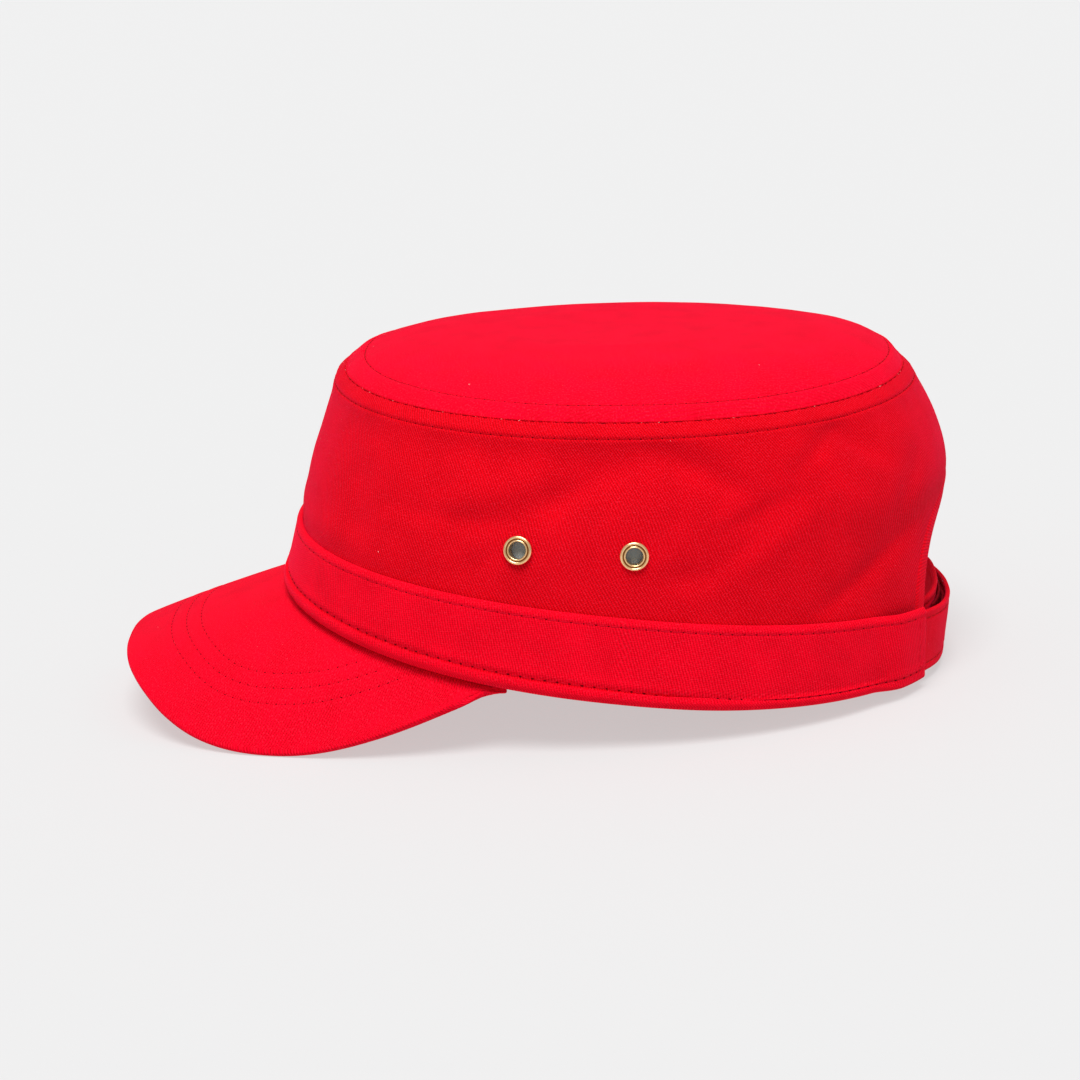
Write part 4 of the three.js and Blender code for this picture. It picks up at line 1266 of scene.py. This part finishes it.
def sew(name, node, runs, pitch, template, material, start=0.5, lean=0.07, vary=0.10, drift=0.0):
    """Copies of the template along runs of points, a little uneven in lie, length and place."""
    rng = np.random.default_rng(sum(map(ord, name)))
    parts = []
    for points, normals in runs:
        centres, lengthwise, outwards = sewn_places(points, normals, pitch, start)
        lengthwise = unit(lengthwise)
        sideways = np.cross(unit(outwards), lengthwise)
        count = len(centres)
        centres = centres + rng.normal(0, 1, (count, 1)) * drift * lengthwise
        lengthwise = lengthwise + rng.normal(0, lean, (count, 1)) * sideways
        matrices = standing(centres, lengthwise, outwards)
        matrices[:, :3, 0] *= np.clip(rng.normal(1, vary, (count, 1)), 0.3, 2.0)
        parts.append(matrices)
    piece = copies_of(template, np.concatenate(parts), name)
    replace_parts(finish(piece, "twill", material), node)
    print(name, sum(len(part) for part in parts))


def ring_run(grid, normals, row):
    """A run along a row of a closed grid, one step past its start."""
    return [np.concatenate([values[:, row], values[1:2, row]]) for values in (grid, normals)]


def row_runs(grid, normals, rows):
    """Runs along rows of an open grid, which stop short of its ends."""
    return [(grid[3:-3, row], normals[3:-3, row]) for row in rows]


def row_at(values, target):
    return int(np.argmin(np.abs(values - target)))


def strap_runs(skin, out, rows):
    edges = (STRAP_STITCH, rows[-1] + rows[0] - STRAP_STITCH)
    return row_runs(skin, out, [row_at(rows, edge) for edge in edges])


stitch = bead("stitch", 0.0026, 0.00036, 0.00030)
long_stitch = bead("long_stitch", 0.0028, 0.00040, 0.00034)
peak_stitch = bead("peak_stitch", 0.0023, 0.00034, 0.00026)
# The two hole beads are painted shade for the needle holes.
hole = bead("hole", 0.00085, 0.00062, 0.00040)
small_needle_shade_bead = bead("small_needle_shade_bead", 0.00055, 0.00046, 0.00030)
# A bead for the painted shade in the top seam's groove.
knot = bead("knot", 0.0015, 0.00042, 0.00034)
speck = bead("speck", 0.00045, 0.00016, 0.00016)

wall_skin = wall_mid + wall_out * (wall_half + wall_relief)[..., None]
wall_run = ring_run(wall_skin, wall_out, row_at(from_seam[0], SIDE_STITCH))
top_skin = top_mid + top_out * (top_half + top_relief)[..., None]
top_run = ring_run(top_skin, top_out, row_at(top_from_seam[0], top_stitch[0, 0]))
arch_skin = arch_mid + arch_normals * (arch_half + arch_face)[..., None]
arch_row = row_at(from_edge, ARCH_STITCH)
arch_run = (arch_skin[:, arch_row], arch_normals[:, arch_row])
hem_row = len(LOWER_ROWS) - 1
top_row = row_at(-from_top[0], -TOP_STITCH)
band_runs = row_runs(band_skin, band_out, (hem_row, top_row))
for column in (3, -4):
    band_runs.append((band_skin[column, 4:-4], band_out[column, 4:-4]))
peak_top = peak_mid + peak_out * (peak_half + peak_relief)[..., None]
peak_under = peak_mid - peak_out * (peak_half + peak_relief)[..., None]
peak_runs = []
for line in PEAK_STITCHES:
    row = row_at(np.array(PEAK_ROWS), line)
    free = np.flatnonzero(near[:, 0] > line + 0.0012)
    for skin, out in ((peak_top, peak_out), (peak_under, -peak_out)):
        peak_runs.append((skin[free, row], out[free, row]))
seam_run = ring_run(wall_skin + [0, 0, 0.0001], unit(wall_out + [0, 0, 1.0]), -1)

sew("side_stitching", "crown_side", [wall_run, arch_run], STITCH_PITCH, stitch, THREAD)
sew("side_needle_holes", "crown_side", [wall_run], STITCH_PITCH, small_needle_shade_bead, NEEDLE_HOLE_SHADE, start=0.0)
# Dark beads along the top seam are painted shade in its groove.
sew("seam_knots", "crown_side", [seam_run], SEAM_SHADE_PITCH, knot, SEAM_SHADE,
    lean=0.12, vary=0.45, drift=0.0007)
sew("seam_lint", "crown_side", [seam_run], LINT_PITCH, speck, LINT_SPECK,
    lean=0.8, vary=0.3, drift=0.003)
sew("top_stitching", "crown_top", [top_run], STITCH_PITCH, stitch, THREAD)
sew("top_needle_holes", "crown_top", [top_run], STITCH_PITCH, small_needle_shade_bead, NEEDLE_HOLE_SHADE, start=0.0)
sew("band_stitching", "band", band_runs, BAND_PITCH, long_stitch, PALE_THREAD)
sew("band_needle_holes", "band", band_runs[:1], BAND_PITCH, hole, NEEDLE_HOLE_SHADE, start=0.0)
sew("band_top_holes", "band", band_runs[1:2], BAND_PITCH, small_needle_shade_bead, NEEDLE_HOLE_SHADE, start=0.0)
sew("peak_stitching", "peak", peak_runs, PEAK_PITCH, peak_stitch, PALE_THREAD)
sew("peak_needle_holes", "peak", peak_runs, PEAK_PITCH, small_needle_shade_bead, NEEDLE_HOLE_SHADE, start=0.0)
sew("strap_outer_stitching", "strap_outer", strap_runs(*outer), STITCH_PITCH, stitch, THREAD)
sew("strap_inner_stitching", "strap_inner", strap_runs(*inner), STITCH_PITCH, stitch, THREAD)
for template in (stitch, long_stitch, peak_stitch, hole, small_needle_shade_bead, knot, speck):
    bpy.data.objects.remove(template)

# %% [markdown]
# ## The set
#
# The cap stands on a plain pale table under soft studio light. The table is lit from within,
# as tables for product photographs are, which keeps the shadow under the cap light. The
# camera stands a metre away, on the wearer's left and a little above, and tilted slightly.

# %% Floor, light and camera
TABLE_GLOW = 0.52
SKY_STRENGTH = 0.50
AZIMUTH, ELEVATION, ROLL = (math.radians(a) for a in (91.4, 15.5, 3.85))
DISTANCE = 1.0
TARGET = Vector((0, 0.0005, 0.0419))
SENSOR_WIDTH = 36
FOCAL_LENGTH = 3220 / 1080 * SENSOR_WIDTH

deselect()
bpy.ops.mesh.primitive_plane_add(size=60, location=(0, 0, 0))
floor = bpy.context.object
floor.name = "table"
table = plain("pale_table", (0.25, 0.25, 0.251, 1), 0.9, 0.99, 0.02, 0.02)
feed(table.node_tree, table.node_tree.nodes["Principled BSDF"],
     {"Emission Color": (1, 1, 1, 1), "Emission Strength": TABLE_GLOW})
floor.data.materials.append(table)


def soft_sun(name, toward, angle, strength):
    """A distant light as wide as a softbox, so that the table is lit evenly."""
    deselect()
    bpy.ops.object.light_add(type="SUN", location=(0, 0, 2))
    light = bpy.context.object
    light.name = name
    light.data.angle = math.radians(angle)
    light.data.energy = strength
    light.rotation_euler = Vector(toward).to_track_quat("-Z", "Y").to_euler()


soft_sun("key", (-0.42, 0.03, -1.0), 32, 3.1)
world = bpy.data.worlds.new("studio")
world.use_nodes = True
feed(world.node_tree, world.node_tree.nodes["Background"],
     {"Color": (1, 1, 1, 1), "Strength": SKY_STRENGTH})
bpy.context.scene.world = world
bpy.context.scene.view_settings.view_transform = "Standard"

right = Vector((math.cos(AZIMUTH), math.sin(AZIMUTH), 0))
away = Vector((math.sin(AZIMUTH), -math.cos(AZIMUTH), 0))
back = away * math.cos(ELEVATION) + Vector((0, 0, math.sin(ELEVATION)))
upright = back.cross(right)
picture_x = right * math.cos(ROLL) - upright * math.sin(ROLL)
picture_y = right * math.sin(ROLL) + upright * math.cos(ROLL)
camera_data = bpy.data.cameras.new("camera")
camera_data.sensor_width = SENSOR_WIDTH
camera_data.lens = FOCAL_LENGTH
camera = bpy.data.objects.new("camera", camera_data)
bpy.context.collection.objects.link(camera)
camera.matrix_world = Matrix.Translation(TARGET + back * DISTANCE) @ Matrix(
    (picture_x, picture_y, back)).transposed().to_4x4()
bpy.context.scene.camera = camera
print("camera at", [round(c, 3) for c in camera.location])
